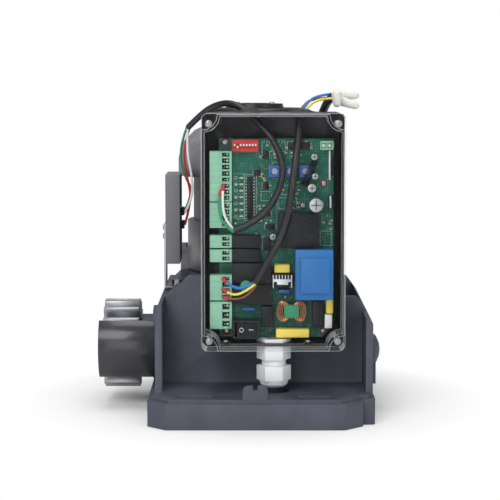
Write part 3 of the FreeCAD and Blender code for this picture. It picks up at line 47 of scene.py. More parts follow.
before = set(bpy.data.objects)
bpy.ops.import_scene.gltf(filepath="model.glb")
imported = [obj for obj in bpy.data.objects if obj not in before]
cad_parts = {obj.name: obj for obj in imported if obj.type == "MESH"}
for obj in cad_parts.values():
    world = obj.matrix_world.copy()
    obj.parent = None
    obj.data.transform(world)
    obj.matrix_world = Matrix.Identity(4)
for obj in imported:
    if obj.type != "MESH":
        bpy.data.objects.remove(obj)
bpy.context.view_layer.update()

MM = 0.001
AXES = {"X": 0, "Y": 1, "Z": 2}
TURNS = {"X": (0, math.pi / 2, 0), "Y": (math.pi / 2, 0, 0), "Z": (0, 0, 0)}

# Places on the solids, in millimetres: the lower left corner of the circuit board's face, its screws by their place
# on the board, the two grommets, the two tabs on the box's floor, and the middle and top of the motor's cap
BOARD_X, BOARD_Y, BOARD_Z = -30.75, -90.0, 71.2
BOARD_SCREWS = ((5, 167), (89.2, 131.8), (6.2, 5.2), (89.1, 5.2))
GROMMETS_X, GROMMETS_Y = (-4.4, 38.3), -86
TABS_X, TABS_Y, TABS_TOP = (-25.2, 44.8), -106, 69.6
CAP_Y, CAP_TOP = 50, 268.5


# Sizes and colours that a user would change


def length(name, description, default):
    return FloatProperty(name=name, description=description, default=default * MM, min=0.0, subtype="DISTANCE",
                         unit="LENGTH")


def code(text):
    """Linear light from a colour's code on screen."""
    parts = [int(text[i:i + 2], 16) / 255 for i in (0, 2, 4)]
    return tuple(part / 12.92 if part <= 0.04045 else ((part + 0.055) / 1.055) ** 2.4 for part in parts)


def colour(name, description, text):
    return FloatVectorProperty(name=name, description=description, default=code(text), size=3, min=0.0, max=1.0,
                               subtype="COLOR")


class MotorShapes(PropertyGroup):
    """Sizes of the fine detail."""

    casting_edge: length("Casting edge", "Rounding of the casting's edges", 1.2)
    moulded_edge: length("Moulded edge", "Rounding of the plastic parts' edges", 0.6)
    limit_cable: length("Limit cable", "Diameter of the limit switch cable", 5.6)
    motor_cable: length("Motor cable", "Diameter of the motor cable", 6.4)
    motor_lead: length("Motor lead", "Diameter of the sleeve from the motor", 7.2)
    wire: length("Wire", "Diameter of a single wire", 2.2)


class MotorColours(PropertyGroup):
    """Colours of the finishes."""

    casting: colour("Casting", "Paint of the base casting", "474A58")
    bare_metal: colour("Bare metal", "Cast aluminium of the motor's bells", "96969A")
    guard: colour("Guard", "Plastic of the pinion guard", "2B2C30")
    shell: colour("Shell", "Black plastic of the box and cap", "141518")
    limit: colour("Limit switch", "Plastic of the limit switch box", "74757A")
    board: colour("Board", "Solder mask of the circuit board", "0C5D4A")
    terminal: colour("Terminals", "Plastic of the terminal blocks", "8FC7A8")
    transformer: colour("Transformer", "Case of the transformer", "1B6CB0")
    nylon: colour("Nylon", "Nylon of the cable gland", "EEF0F1")


# Shader expressions


class Value:
    """A node socket that takes part in Python expressions."""

    def __init__(self, tree, socket):
        self.tree, self.socket = tree, socket

    def math(self, kind, *others, turned=False):
        values = [self, *others]
        if turned:
            values.reverse()
        return self.tree.node("ShaderNodeMath", {"operation": kind}, dict(enumerate(values)))

    def __add__(self, other):
        return self.math("ADD", other)

    __radd__ = __add__

    def __sub__(self, other):
        return self.math("SUBTRACT", other)

    def __rsub__(self, other):
        return self.math("SUBTRACT", other, turned=True)

    def __mul__(self, other):
        return self.math("MULTIPLY", other)

    __rmul__ = __mul__

    def __truediv__(self, other):
        return self.math("DIVIDE", other)

    def __gt__(self, other):
        return self.math("GREATER_THAN", other)

    def __lt__(self, other):
        return self.math("LESS_THAN", other)

    def __mod__(self, other):
        return self.math("FLOORED_MODULO", other)

    def __abs__(self):
        return self.math("ABSOLUTE")

    def limited(self, low, high):
        """Runs from 0 at low to 1 at high."""
        return self.tree.node("ShaderNodeMapRange", {"clamp": True},
                              {"Value": self, "From Min": low, "From Max": high})


class Nodes:
    """A node tree that expressions add to."""

    def __init__(self, tree):
        self.nodes, self.links = tree.nodes, tree.links

    def feed(self, node, inputs):
        for name, value in inputs.items():
            socket = node.inputs[name]
            if isinstance(value, Value):
                self.links.new(value.socket, socket)
            elif socket.type == "RGBA" and len(value) == 3:
                socket.default_value = (*value, 1.0)
            else:
                socket.default_value = value

    def node(self, kind, settings, inputs, output=0):
        """Any node: its settings are set first, then the values or links of its sockets."""
        node = self.nodes.new(kind)
        for name, value in settings.items():
            setattr(node, name, value)
        self.feed(node, inputs)
        return Value(self, node.outputs[output])


class Finish(Nodes):
    """A material whose detail comes from nodes on Object coordinates."""

    def __init__(self, name, roughness=0.5, metallic=0.0, coat=0.0):
        material = bpy.data.materials.new("finish_" + name)
        material.use_nodes = True
        super().__init__(material.node_tree)
        self.shader = next(node for node in self.nodes if node.type == "BSDF_PRINCIPLED")
        self.output = next(node for node in self.nodes if node.type == "OUTPUT_MATERIAL")
        self.solid = Value(self, self.shader.outputs[0])
        self.feed(self.shader, {"Roughness": roughness, "Metallic": metallic, "Coat Weight": coat})
        self.place = self.node("ShaderNodeTexCoord", {}, {}, "Object")

    def surface(self, **inputs):
        self.feed(self.shader, {name.replace("_", " "): value for name, value in inputs.items()})
        return self

    def spread(self, scale, turn=(0.0, 0.0, 0.0)):
        """Coordinates stretched and turned on the piece."""
        return self.node("ShaderNodeMapping", {}, {"Vector": self.place, "Scale": scale, "Rotation": turn})

    def noise(self, scale, detail=2.0, place=None):
        return self.node("ShaderNodeTexNoise", {}, {"Vector": place or self.place, "Scale": scale, "Detail": detail})

    def mix(self, share, first, second):
        """A colour between two colours."""
        return self.node("ShaderNodeMix", {"data_type": "RGBA"}, {0: share, 6: first, 7: second}, 2)

    def show(self, share, first, second):
        """Makes the surface a mix of two shaders."""
        mixed = self.node("ShaderNodeMixShader", {}, {0: share, 1: first, 2: second})
        self.links.new(mixed.socket, self.output.inputs["Surface"])

    def along(self, letter):
        return self.node("ShaderNodeSeparateXYZ", {}, {0: self.place}, letter)

    def bump(self, height, strength, depth):
        normal = self.node("ShaderNodeBump", {}, {"Height": height, "Strength": strength, "Distance": depth})
        return self.surface(Normal=normal)


def shaded(rgb, amount):
    """A colour made lighter or darker."""
    return tuple(min(1.0, part * amount) for part in rgb)


# Finishes. What is taken off a roughness is about the mean of the noises added to it.


def cast_finish(name, rgb, roughness, metallic, grain):
    """Sand-cast metal: fine grain, soft blotches and light scuffs."""
    finish = Finish(name, metallic=metallic)
    fine = finish.noise(1600, 3)
    blotch = finish.noise(38, 4)
    scuff = finish.noise(420, 4, finish.spread((1, 1, 4))).limited(0.62, 0.7) * blotch.limited(0.48, 0.62)
    tone = finish.mix(blotch.limited(0.3, 0.7), shaded(rgb, 0.82), shaded(rgb, 1.16))
    tone = finish.mix(scuff * 0.5, tone, shaded(rgb, 2.6))
    finish.surface(Base_Color=tone, Roughness=fine * 0.16 + blotch * 0.12 + (roughness - 0.14))
    finish.bump(fine + blotch * 0.8, grain, 0.0003)


def moulded_finish(name, rgb, roughness, gloss=0.5, grain=0.08, coat=0.0):
    """Moulded plastic: faint flow marks, fine texture and handling marks."""
    finish = Finish(name, coat=coat)
    fine = finish.noise(2400, 2)
    flow = finish.noise(30, 3, finish.spread((1, 1, 0.4)))
    tone = finish.mix(flow.limited(0.3, 0.7), shaded(rgb, 0.9), shaded(rgb, 1.1))
    finish.surface(Base_Color=tone, Roughness=fine * 0.1 + flow * 0.16 + (roughness - 0.13), Specular_IOR_Level=gloss)
    return finish.bump(fine, grain, 0.0002)


def machined_finish(name, rgb, roughness, lay):
    """Machined or plated metal: fine lines along or across the lay of the tool."""
    finish = Finish(name, metallic=1.0)
    lines = finish.noise(420, 3, finish.spread(lay))
    stain = finish.noise(60, 3)
    tone = finish.mix(lines, shaded(rgb, 0.84), shaded(rgb, 1.1))
    tone = finish.mix(stain.limited(0.55, 0.8) * 0.4, tone, shaded(rgb, 0.6))
    finish.surface(Base_Color=tone, Roughness=lines * 0.2 + stain * 0.14 + (roughness - 0.17))
    finish.bump(lines, 0.12, 0.0002)


def cord_finish(name, rgb, roughness=0.42):
    """Soft jacket of a cable or wire, with faint ripples and dust."""
    finish = Finish(name)
    ripple = finish.noise(700, 2)
    dust = finish.noise(90, 3)
    tone = finish.mix(dust.limited(0.35, 0.8), rgb, shaded(rgb, 1.25))
    finish.surface(Base_Color=tone, Roughness=ripple * 0.12 + dust * 0.14 + (roughness - 0.12))
    finish.bump(ripple, 0.1, 0.0002)


def board_finish(name, rgb):
    """Green solder mask over copper tracks that run both ways, with tinned dots."""
    finish = Finish(name)
    region = finish.node("ShaderNodeTexVoronoi", {"distance": "CHEBYCHEV"},
                         {"Vector": finish.place, "Scale": 95.0, "Randomness": 0.9}, "Color")
    turn = finish.node("ShaderNodeSeparateColor", {}, {0: region}, "Red") > 0.5
    pitch = 1.3 * MM
    across, up = finish.along("X") / pitch, finish.along("Z") / pitch
    line = turn * across + (1 - turn) * up
    wobble = finish.noise(300, 1) * 0.3
    track = abs((line + wobble) % 1 - 0.5) < 0.2
    dot_x, dot_z = abs(across * 0.6 % 1 - 0.5), abs(up * 0.6 % 1 - 0.5)
    dot = (dot_x * dot_x + dot_z * dot_z < 0.022) * (finish.noise(220, 0) > 0.56)
    cloud = finish.noise(60, 3)
    tone = finish.mix(cloud.limited(0.3, 0.7), shaded(rgb, 0.6), shaded(rgb, 1.2))
    tone = finish.mix(track * 0.7, tone, shaded(rgb, 2.0))
    tone = finish.mix(dot * 0.9, tone, code("B9BDB4"))
    finish.surface(Base_Color=tone, Roughness=0.48 - track * 0.12, Metallic=dot * 0.8, Specular_IOR_Level=0.3)
    finish.bump(track + dot, 0.25, 0.0001)


def clear_finish(name, tint, gloss):
    """Clear plastic: see-through face on, shining at a slant, with faint dust and fine scratches."""
    finish = Finish(name, roughness=0.08)
    dust = finish.noise(500, 4)
    scratch = finish.noise(160, 2, finish.spread((9, 1, 1), (0, 0.6, 0))).limited(0.63, 0.72)
    finish.surface(Base_Color=finish.mix(dust, code("DADDE0"), code("FFFFFF")), Roughness=dust * 0.08 + scratch * 0.1)
    slant = finish.node("ShaderNodeLayerWeight", {}, {"Blend": 0.2}, "Facing")
    open_air = finish.node("ShaderNodeBsdfTransparent", {}, {"Color": (*tint, 1.0)})
    share = slant * slant * slant * 0.5 + scratch * 0.01 + gloss
    finish.show(share, open_air, finish.solid)


def sleeve_finish(name, rgb):
    """Glossy sleeve of a capacitor with pale, worn patches."""
    finish = moulded_finish(name, rgb, 0.3, coat=0.3)
    worn = finish.noise(200, 1) > 0.62
    finish.surface(Base_Color=finish.mix(worn * 0.35, rgb, code("8E9A98")))


# Finishes of one kind with a fixed colour: name, colour, roughness, and then the gloss and grain or the tool's lay
MOULDED = (
    # Darker green of the seam lines between ways: painted shade
    ("terminal_shade", "6FA88A", 0.5),
    # Dark green of the wire holes: a plate of painted shade
    ("terminal_well", "15241F", 0.6),
    ("component_black", "0F1012", 0.34, 0.35),
    ("relay_black", "141518", 0.42, 0.3),
    ("film_yellow", "EFD557", 0.35),
    ("white_plastic", "EDEDEA", 0.4),
    ("switch_red", "C42A2A", 0.36),
    ("trimmer_blue", "355FA8", 0.4),
    ("rubber_black", "1B1B1D", 0.62, 0.5, 0.2),
    # Paler rubber for the grommets' lips: its lighter grey is a painted highlight
    ("rubber_shine", "4A4B4E", 0.25),
    ("print_white", "C4CFCB", 0.6),
    ("adjuster_white", "AEB9C8", 0.45),
    ("ceramic_green", "2C8A63", 0.5),
    ("varistor_blue", "1E4E9C", 0.38),
    ("resistor_tan", "C6B48A", 0.45),
)
MACHINED = (
    ("turned_steel", "B4B4B6", 0.3, (8, 1, 1)),
    ("cut_gear_steel", "9D9EA2", 0.36, (1, 5, 5)),
    ("zinc_plate", "A9ABAD", 0.36, (1, 1, 4)),
    ("tinned_lead", "C3C6C8", 0.3, (3, 1, 1)),
    ("can_top", "B9BCBF", 0.36, (2, 1, 1)),
    ("heatsink_metal", "D9DCDE", 0.4, (1, 3, 1)),
    ("lamination_steel", "77787C", 0.45, (0.2, 0.2, 12)),
    ("wheel_bronze", "B5895A", 0.34, (4, 1, 1)),
    ("winding_copper", "D8916A", 0.36, (1, 1, 3)),
)
JACKETS = {"red": "B8242A", "white": "E6E6E2", "green": "1F8E66", "blue": "3673CF", "yellow": "EBD456",
           "brown": "7E5238", "black": "1E1E20"}


# Modelling by hand, in code


def linked(piece):
    bpy.context.scene.collection.objects.link(piece)
    return piece


def mode(name):
    bpy.ops.object.mode_set(mode=name)


def idle():
    """Object mode with nothing selected."""
    if bpy.context.mode != "OBJECT":
        mode("OBJECT")
    bpy.ops.object.select_all(action="DESELECT")


def active(piece):
    idle()
    piece.select_set(True)
    bpy.context.view_layer.objects.active = piece
    return piece


@contextmanager
def editing(piece):
    """Edit mode with the whole piece selected."""
    active(piece)
    mode("EDIT")
    bpy.ops.mesh.select_all(action="SELECT")
    yield
    mode("OBJECT")


@contextmanager
def facing(piece, axis, sign):
    """Edit mode with only the faces that look along an axis selected."""
    with editing(piece):
        bpy.ops.mesh.select_mode(type="FACE")
        bpy.ops.mesh.select_all(action="DESELECT")
        mode("OBJECT")
        for face in piece.data.polygons:
            face.select = face.normal[AXES[axis]] * sign > 0.9
        mode("EDIT")
        yield


def settled(piece):
    active(piece)
    bpy.ops.object.transform_apply(location=True, rotation=True, scale=True)
    return piece


def block(x, y, z, edge=0.0, steps=2):
    """A block between pairs of places in millimetres, its edges rounded."""
    idle()
    low, high = (Vector(ends) * MM for ends in zip(x, y, z))
    bpy.ops.mesh.primitive_cube_add(size=1, location=(low + high) / 2)
    piece = bpy.context.object
    piece.scale = high - low
    settled(piece)
    if edge:
        with editing(piece):
            bpy.ops.mesh.bevel(offset=edge * MM, segments=steps, affect="EDGES")
    return piece


def drum(centre, radius, depth, axis="Y", edge=0.0, sides=24):
    """A cylinder along an axis with rounded rims."""
    idle()
    bpy.ops.mesh.primitive_cylinder_add(vertices=sides, radius=radius * MM, depth=depth * MM,
                                        location=Vector(centre) * MM, rotation=TURNS[axis])
    piece = settled(bpy.context.object)
    if edge:
        for sign in (-1, 1):
            with facing(piece, axis, sign):
                bpy.ops.mesh.bevel(offset=edge * MM, segments=2, affect="EDGES")
    return piece


def hoop(centre, radius, thickness, axis="Z", sides=40, around=8):
    """A ring of round section."""
    idle()
    bpy.ops.mesh.primitive_torus_add(major_segments=sides, minor_segments=around, major_radius=radius * MM,
                                     minor_radius=thickness * MM, location=Vector(centre) * MM, rotation=TURNS[axis])
    return settled(bpy.context.object)


def turned(profile, centre, axis, sides=32):
    """A solid of revolution, extruded ring by ring. The profile's points are (place along the axis, radius)."""
    idle()
    place = [0.0, 0.0, 0.0]
    others = [index for index in range(3) if index != AXES[axis]]
    for index, part in zip(others, centre):
        place[index] = part
    place[AXES[axis]], radius = profile[0]
    bpy.ops.mesh.primitive_circle_add(vertices=sides, radius=radius * MM, fill_type="NGON",
                                      location=Vector(place) * MM, rotation=TURNS[axis])
    piece = settled(bpy.context.object)
    with editing(piece):
        for (along, old), (following, new) in zip(profile, profile[1:]):
            step = [0.0, 0.0, 0.0]
            step[AXES[axis]] = (following - along) * MM
            bpy.ops.mesh.extrude_region_move(TRANSFORM_OT_translate={"value": step})
            place[AXES[axis]] = following
            scale = [new / old] * 3
            scale[AXES[axis]] = 1.0
            bpy.ops.transform.resize(value=scale, center_override=Vector(place) * MM)
        bpy.ops.mesh.select_all(action="SELECT")
        bpy.ops.mesh.normals_make_consistent(inside=False)
    return piece


def moved(piece, offset):
    """A copy of a piece with its own mesh, moved by millimetres."""
    twin = piece.copy()
    twin.data = piece.data.copy()
    twin.data.transform(Matrix.Translation(Vector(offset) * MM))
    return linked(twin)


def joined(pieces):
    idle()
    for piece in pieces:
        piece.select_set(True)
    bpy.context.view_layer.objects.active = pieces[0]
    if len(pieces) > 1:
        bpy.ops.object.join()
    return pieces[0]


def cut_from(piece, *cutters):
    """Takes other pieces out of one."""
    for cutter in cutters:
        active(piece)
        tool = piece.modifiers.new("cut", "BOOLEAN")
        tool.object = cutter
        tool.solver = "EXACT"
        bpy.ops.object.modifier_apply(modifier=tool.name)
        bpy.data.objects.remove(cutter)
    return piece


def finish_called(name):
    return bpy.data.materials["finish_" + name]


def painted(piece, finish):
    piece.data.materials.clear()
    piece.data.materials.append(finish_called(finish))
    return piece


def recoloured(piece, finish, test):
    """Gives another finish to the faces that pass a test on their centre, in millimetres, and normal."""
    piece.data.materials.append(finish_called(finish))
    last = len(piece.data.materials) - 1
    for face in piece.data.polygons:
        if test(face.center / MM, face.normal):
            face.material_index = last
    return piece


def finished(name, pieces, body="base", replaces=(), angle=35):
    """Joins pieces, names them, shades them and lets them ride on a body."""
    piece = joined(pieces)
    piece.name = piece.data.name = name
    active(piece)
    bpy.ops.object.shade_smooth_by_angle(angle=math.radians(angle))
    if replaces:
        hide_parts(*replaces)
    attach(piece, body)
    return piece


def rounded(node, edge, steps=2, angle=30, curved=False):
    """A copy of a CAD node's shape with its edges rounded by a bevel. A curved one keeps all its facets."""
    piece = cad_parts[node].copy()
    piece.data = piece.data.copy()
    piece.parent = None
    for key in list(piece.keys()):
        del piece[key]
    with editing(linked(piece)):
        bpy.ops.mesh.remove_doubles(threshold=1e-6)
        if not curved:
            bpy.ops.mesh.dissolve_limited(angle_limit=math.radians(1))
    bevel = piece.modifiers.new("edges", "BEVEL")
    bevel.width, bevel.segments = edge, steps
    bevel.limit_method, bevel.angle_limit = "ANGLE", math.radians(angle)
    bevel.use_clamp_overlap = True
    active(piece)
    bpy.ops.object.modifier_apply(modifier=bevel.name)
    return piece


def dress(finish, *nodes):
    """Gives CAD nodes a finish through their material slots."""
    for node in nodes:
        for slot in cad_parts[node].material_slots:
            slot.material = finish_called(finish)


def softened(names, edge, finish, body="base"):
    """Rounded copies that stand for their CAD nodes."""
    for node in names:
        piece = painted(rounded(node, edge), finish)
        finished(node + "_form", [piece], body, replaces=(node,))


def on_board(left, bottom, out=0.0):
    """A point by its place on the board and its height above it."""
    return BOARD_X + left, BOARD_Y - out, BOARD_Z + bottom


def mounted(finish, left, bottom, width, height, low, high, edge=0.0, steps=2):
    """A block on the board, by its finish, its lower left corner and size, and its heights above the board."""
    x, _, z = on_board(left, bottom)
    return painted(block((x, x + width), (BOARD_Y - high, BOARD_Y - low), (z, z + height), edge, steps), finish)


class Step:
    """What the operators share: each has a build method that takes the sizes and colours."""

    def execute(self, context):
        self.build(context.scene.gate_motor_shapes, context.scene.gate_motor_colours)
        return {"FINISHED"}


class GATEMOTOR_OT_finishes(Step, Operator):
    """Makes the materials"""

    bl_idname = "gate_motor.finishes"
    bl_label = "Finishes"

    def build(self, shapes, tint):
        cast_finish("casting_paint", tint.casting, 0.52, 0.0, 0.35)
        cast_finish("bare_casting", tint.bare_metal, 0.42, 0.55, 0.3)
        moulded_finish("guard_plastic", tint.guard, 0.3, coat=0.2)
        moulded_finish("shell_plastic", tint.shell, 0.3, gloss=0.3)
        moulded_finish("cap_plastic", shaded(tint.shell, 1.3), 0.36, gloss=0.4)
        moulded_finish("limit_plastic", tint.limit, 0.5)
        moulded_finish("terminal_plastic", tint.terminal, 0.42)
        moulded_finish("transformer_blue", tint.transformer, 0.45, grain=0.15)
        moulded_finish("gland_nylon", tint.nylon, 0.42).surface(Subsurface_Weight=0.2, Subsurface_Scale=0.002)
        moulded_finish("cap_nylon", code("DDDDD7"), 0.35).surface(Subsurface_Weight=0.3, Subsurface_Scale=0.002)
        board_finish("board_mask", tint.board)
        clear_finish("lid_clear", (0.985, 0.99, 0.99), 0.004)
        # The lid's rounded edges are mostly solid and pale: painted highlight lines along them
        clear_finish("lid_edge", (0.9, 0.92, 0.93), 0.75)
        sleeve_finish("can_sleeve", code("14403A"))
        for name, text, *rest in MOULDED:
            moulded_finish(name, code(text), *rest)
        for name, text, roughness, lay in MACHINED:
            machined_finish(name, code(text), roughness, lay)
        for name, text in JACKETS.items():
            cord_finish("jacket_" + name, code(text))


class GATEMOTOR_OT_casting(Step, Operator):
    """Rounds and paints the base casting and what is bolted to it"""

    bl_idname = "gate_motor.casting"
    bl_label = "Casting"

    def build(self, shapes, tint):
        softened(["base_casting"], shapes.casting_edge, "casting_paint")
        softened(["gearbox_cover", "bearing_housing"], 0.4 * shapes.casting_edge, "casting_paint")
        softened(["pinion_guard"], shapes.moulded_edge, "guard_plastic")


class GATEMOTOR_OT_motor(Step, Operator):
    """Finishes the upright motor with its bells, plates, windings and cap"""

    bl_idname = "gate_motor.motor"
    bl_label = "Motor"

    def build(self, shapes, tint):
        for node in ("motor_lower_bell", "motor_upper_bell"):
            bell = painted(rounded(node, shapes.moulded_edge, angle=50, curved=True), "bare_casting")
            finished(node + "_form", [bell], replaces=(node,))
        softened(["motor_cap"], shapes.moulded_edge, "cap_plastic")
        dress("lamination_steel", "stator_core", "rotor_core")
        dress("winding_copper", "stator_windings")
        ribs = [painted(hoop((0, CAP_Y, CAP_TOP), radius, 0.5), "cap_plastic") for radius in (8, 13)]
        finished("cap_rings", ribs)


class GATEMOTOR_OT_drive(Step, Operator):
    """Finishes the worm drive, the pinion, the bearings and the release"""

    bl_idname = "gate_motor.drive"
    bl_label = "Drive"

    def build(self, shapes, tint):
        dress("turned_steel", "output_shaft", "motor_shaft", "output_bearings", "motor_bearings", "clutch_ring",
              "clutch_spring", "shift_fork")
        dress("wheel_bronze", "worm_wheel")
        dress("rubber_black", "output_seal")
        softened(["pinion"], 0.3 * MM, "cut_gear_steel", "output")
        softened(["pinion_fixings"], 0.3 * MM, "zinc_plate", "output")
        softened(["release_lever"], 0.8 * MM, "casting_paint", "release")


class GATEMOTOR_OT_box(Step, Operator):
    """Finishes the control box with its clear lid, gasket, grommets and cable gland"""

    bl_idname = "gate_motor.box"
    bl_label = "Control box"

    def build(self, shapes, tint):
        softened(["box_body"], shapes.moulded_edge, "shell_plastic")
        lid = painted(rounded("box_lid", 1.8 * shapes.moulded_edge), "lid_clear")
        # Faces that don't look along an axis, the rounded edges, get the pale edge finish: painted highlight lines
        recoloured(lid, "lid_edge", lambda centre, normal: max(abs(part) for part in normal) < 0.97)
        finished("lid_form", [lid], replaces=("box_lid",))
        dress("rubber_black", "lid_gasket")
        softened(["rubber_bushes"], 0.3 * MM, "rubber_black")
        # Rings on the grommets' lips: their low roughness gives real highlights, their paler grey is a painted
        # highlight along the rims
        lips = [painted(hoop((x, GROMMETS_Y, height), radius, 0.35, sides=48), "rubber_shine")
                for x in GROMMETS_X for radius, height in ((7.6, 265.6), (12.2, 263.9))]
        finished("grommet_lips", lips)
        half, floor = 4, 68.05
        tabs = [block((x - half, x + half), (TABS_Y - half, TABS_Y + half), (floor, TABS_TOP), 0.3) for x in TABS_X]
        tabs = [painted(tab, "shell_plastic") for tab in tabs]
        finished("floor_tabs", tabs)
        softened(["gland_body", "gland_dome_nut", "gland_locknut"], 0.5 * MM, "gland_nylon")
        thread = [painted(hoop((16, -93, height), 10.0, 0.5), "gland_nylon") for height in (48.6, 50.1, 51.6)]
        finished("gland_thread", thread)


class GATEMOTOR_OT_board(Step, Operator):
    """Finishes the circuit board and solders its small parts"""

    bl_idname = "gate_motor.board"
    bl_label = "Circuit board"

    def build(self, shapes, tint):
        dress("board_mask", "circuit_board")
        self.small_parts()
        self.packages()

    def small_parts(self):
        chip = joined([
            mounted("component_black", 0, 0, 1.4, 1.3, 0, 0.6, 0.1, 1),
            mounted("tinned_lead", -0.4, 0, 0.4, 1.3, 0, 0.6, 0.1, 1),
            mounted("tinned_lead", 1.4, 0, 0.4, 1.3, 0, 0.6, 0.1, 1),
        ])
        pale = moved(chip, (0, 0, 0))
        pale.material_slots[0].material = finish_called("resistor_tan")
        rng = random.Random(4)
        # Left, low, right and high end of a zone, and how many chips lie in it
        zones = ((52, 30, 72, 42, 8), (86, 36, 96, 74, 4), (31, 99, 44, 131, 26), (17, 88, 46, 98, 10),
                 (50, 109, 68, 134, 22), (34, 134, 40, 157, 12), (54, 150, 78, 168, 26), (38, 151, 52, 167, 14),
                 (34, 1, 46, 8, 4), (66, 78, 84, 82, 6), (88, 84, 95, 106, 8), (36, 66, 46, 86, 10))
        copies = []
        for left, low, right, high, count in zones:
            for _ in range(count):
                source = chip if rng.random() < 0.6 else pale
                copies.append(moved(source, (rng.uniform(left, right), 0, rng.uniform(low, high))))
        rows = []
        for step in range(7):
            up = 5.45 * step
            rows += [mounted("white_plastic", 17.5, 103.2 + up, 2.9, 1.4, 0.1, 0.8, 0.15, 1),
                     mounted("resistor_tan", 18.3, 103.1 + up, 1.3, 1.6, 0.1, 0.9, 0.1, 1),
                     painted(hoop(on_board(14.4, 103.9 + up, 0.2), 1.15, 0.18, "Y", 20, 6), "white_plastic")]
        finished("lamp_rows", rows)
        for spare in (chip, pale):
            bpy.data.objects.remove(spare)
        finished("board_chips", copies)

    def packages(self):
        legs = [mounted("tinned_lead", left, 102 + 2.62 * step, 1.4, 0.6, 0.2, 1.2)
                for step in range(14) for left in (22.4, 29.0)]
        small = []
        # Left, bottom, width and height of a package, and its legs on each side
        bodies = ((38.6, 104.4, 5.4, 6.4, 4), (37.2, 153.2, 5.2, 6.4, 3), (37.2, 126.8, 5.2, 6.2, 3),
                  (29.6, 138.4, 6.0, 5.2, 3), (39.4, 92.6, 8.6, 4.4, 3), (37.6, 74.8, 7.2, 11.4, 6),
                  (58.4, 160.8, 8.6, 6.2, 4), (69.2, 160.8, 8.2, 6.2, 4))
        for left, bottom, width, height, count in bodies:
            small.append(mounted("component_black", left, bottom, width, height, 0.2, 1.8, 0.2))
            gap = height / count
            legs += [mounted("tinned_lead", side, bottom + gap * (step + 0.35), 0.9, 0.5, 0.1, 0.6)
                     for step in range(count) for side in (left - 0.9, left + width)]
        finished("chip_legs", legs)
        frames = ((12.6, 101.6, 8.6, 38.4), (21.4, 100.2, 10.2, 39.0), (36.4, 158.9, 8.6, 8.2), (46.6, 158.9, 9.6, 8.2),
                  (45.2, 135.6, 11.4, 14.2), (35.6, 117.2, 8.8, 7.8), (50.0, 110.2, 16.0, 9.4), (86.4, 78.6, 9.2, 12.4),
                  (53.2, 122.2, 9.8, 8.0))
        outlines, line = [], 0.25
        for left, bottom, width, height in frames:
            sides = ((left, bottom, width, line), (left, bottom + height, width + line, line),
                     (left, bottom, line, height), (left + width, bottom, line, height))
            outlines += [mounted("print_white", *side, 0, 0.08) for side in sides]
        finished("board_outlines", outlines)
        metal = partial(mounted, "heatsink_metal")
        small += [
            mounted("white_plastic", 90.1, 8.6, 6.3, 11.8, 0, 9, 0.5),
            mounted("tinned_lead", 92.8, 135.5, 1.6, 24.6, 0, 12, 0.2),
            mounted("relay_black", 94.0, 139.0, 3.1, 8.6, 0, 9, 0.3),
            mounted("component_black", 92.6, 111.2, 4.6, 11.1, 0, 8, 0.4),
            mounted("tinned_lead", 93.9, 111.6, 1.4, 10.3, 8, 8.3, 0.1),
            painted(drum(on_board(22.8, 45.6, 14.2), 5, 4.4, edge=1.0), "ceramic_green"),
            mounted("varistor_blue", 19.9, 24.6, 10.3, 2.6, 12, 16, 1.1),
            mounted("varistor_blue", 50.4, 38.4, 10.3, 3.5, 0, 9, 1.4),
            *(metal(45.7 + 2.56 * fin, 51.0, 0.8, 3.8, 11.8, 13, 0.2) for fin in range(1, 7)),
            *(metal(left, 43.8, 0.9, 11.0, 0, 13, 0.2) for left in (45.7, 61.3)),
            metal(45.9, 48.9, 16.2, 2.4, 11.8, 13, 0.3),
            metal(49.2, 46.4, 9.6, 2.8, 0, 13, 0.4),
            mounted("component_black", 48.8, 43.0, 10.4, 3.2, 0, 6, 0.3),
        ]
        finished("board_parts", small)
        spots = [painted(drum(on_board(left, bottom, 0.4), 0.9, 0.8, edge=0.2, sides=12), "white_plastic")
                 for left, bottom in ((14, 98), (14, 109), (14, 120), (14, 131), (40, 98), (72, 98))]
        finished("board_lamps", spots)
        self.spring()

    def spring(self):
        """The aerial: a coil of wire that lies on the board."""
        start, end = Vector(on_board(81.2, 151.2, 6.0)), Vector(on_board(72.0, 130.4, 6.0))
        out = Vector((0, 1, 0))
        side = (end - start).normalized().cross(out).normalized()
        steps, per_turn, radius, wire = 96, 8, 3.1, 0.5
        points = []
        for step in range(steps + 1):
            angle = 2 * math.pi * step / per_turn
            points.append(start.lerp(end, step / steps) + radius * (math.cos(angle) * side + math.sin(angle) * out))
        coil = line_piece(points, [wire] * len(points), "component_black", 6, 3)
        finished("aerial_spring", [coil])


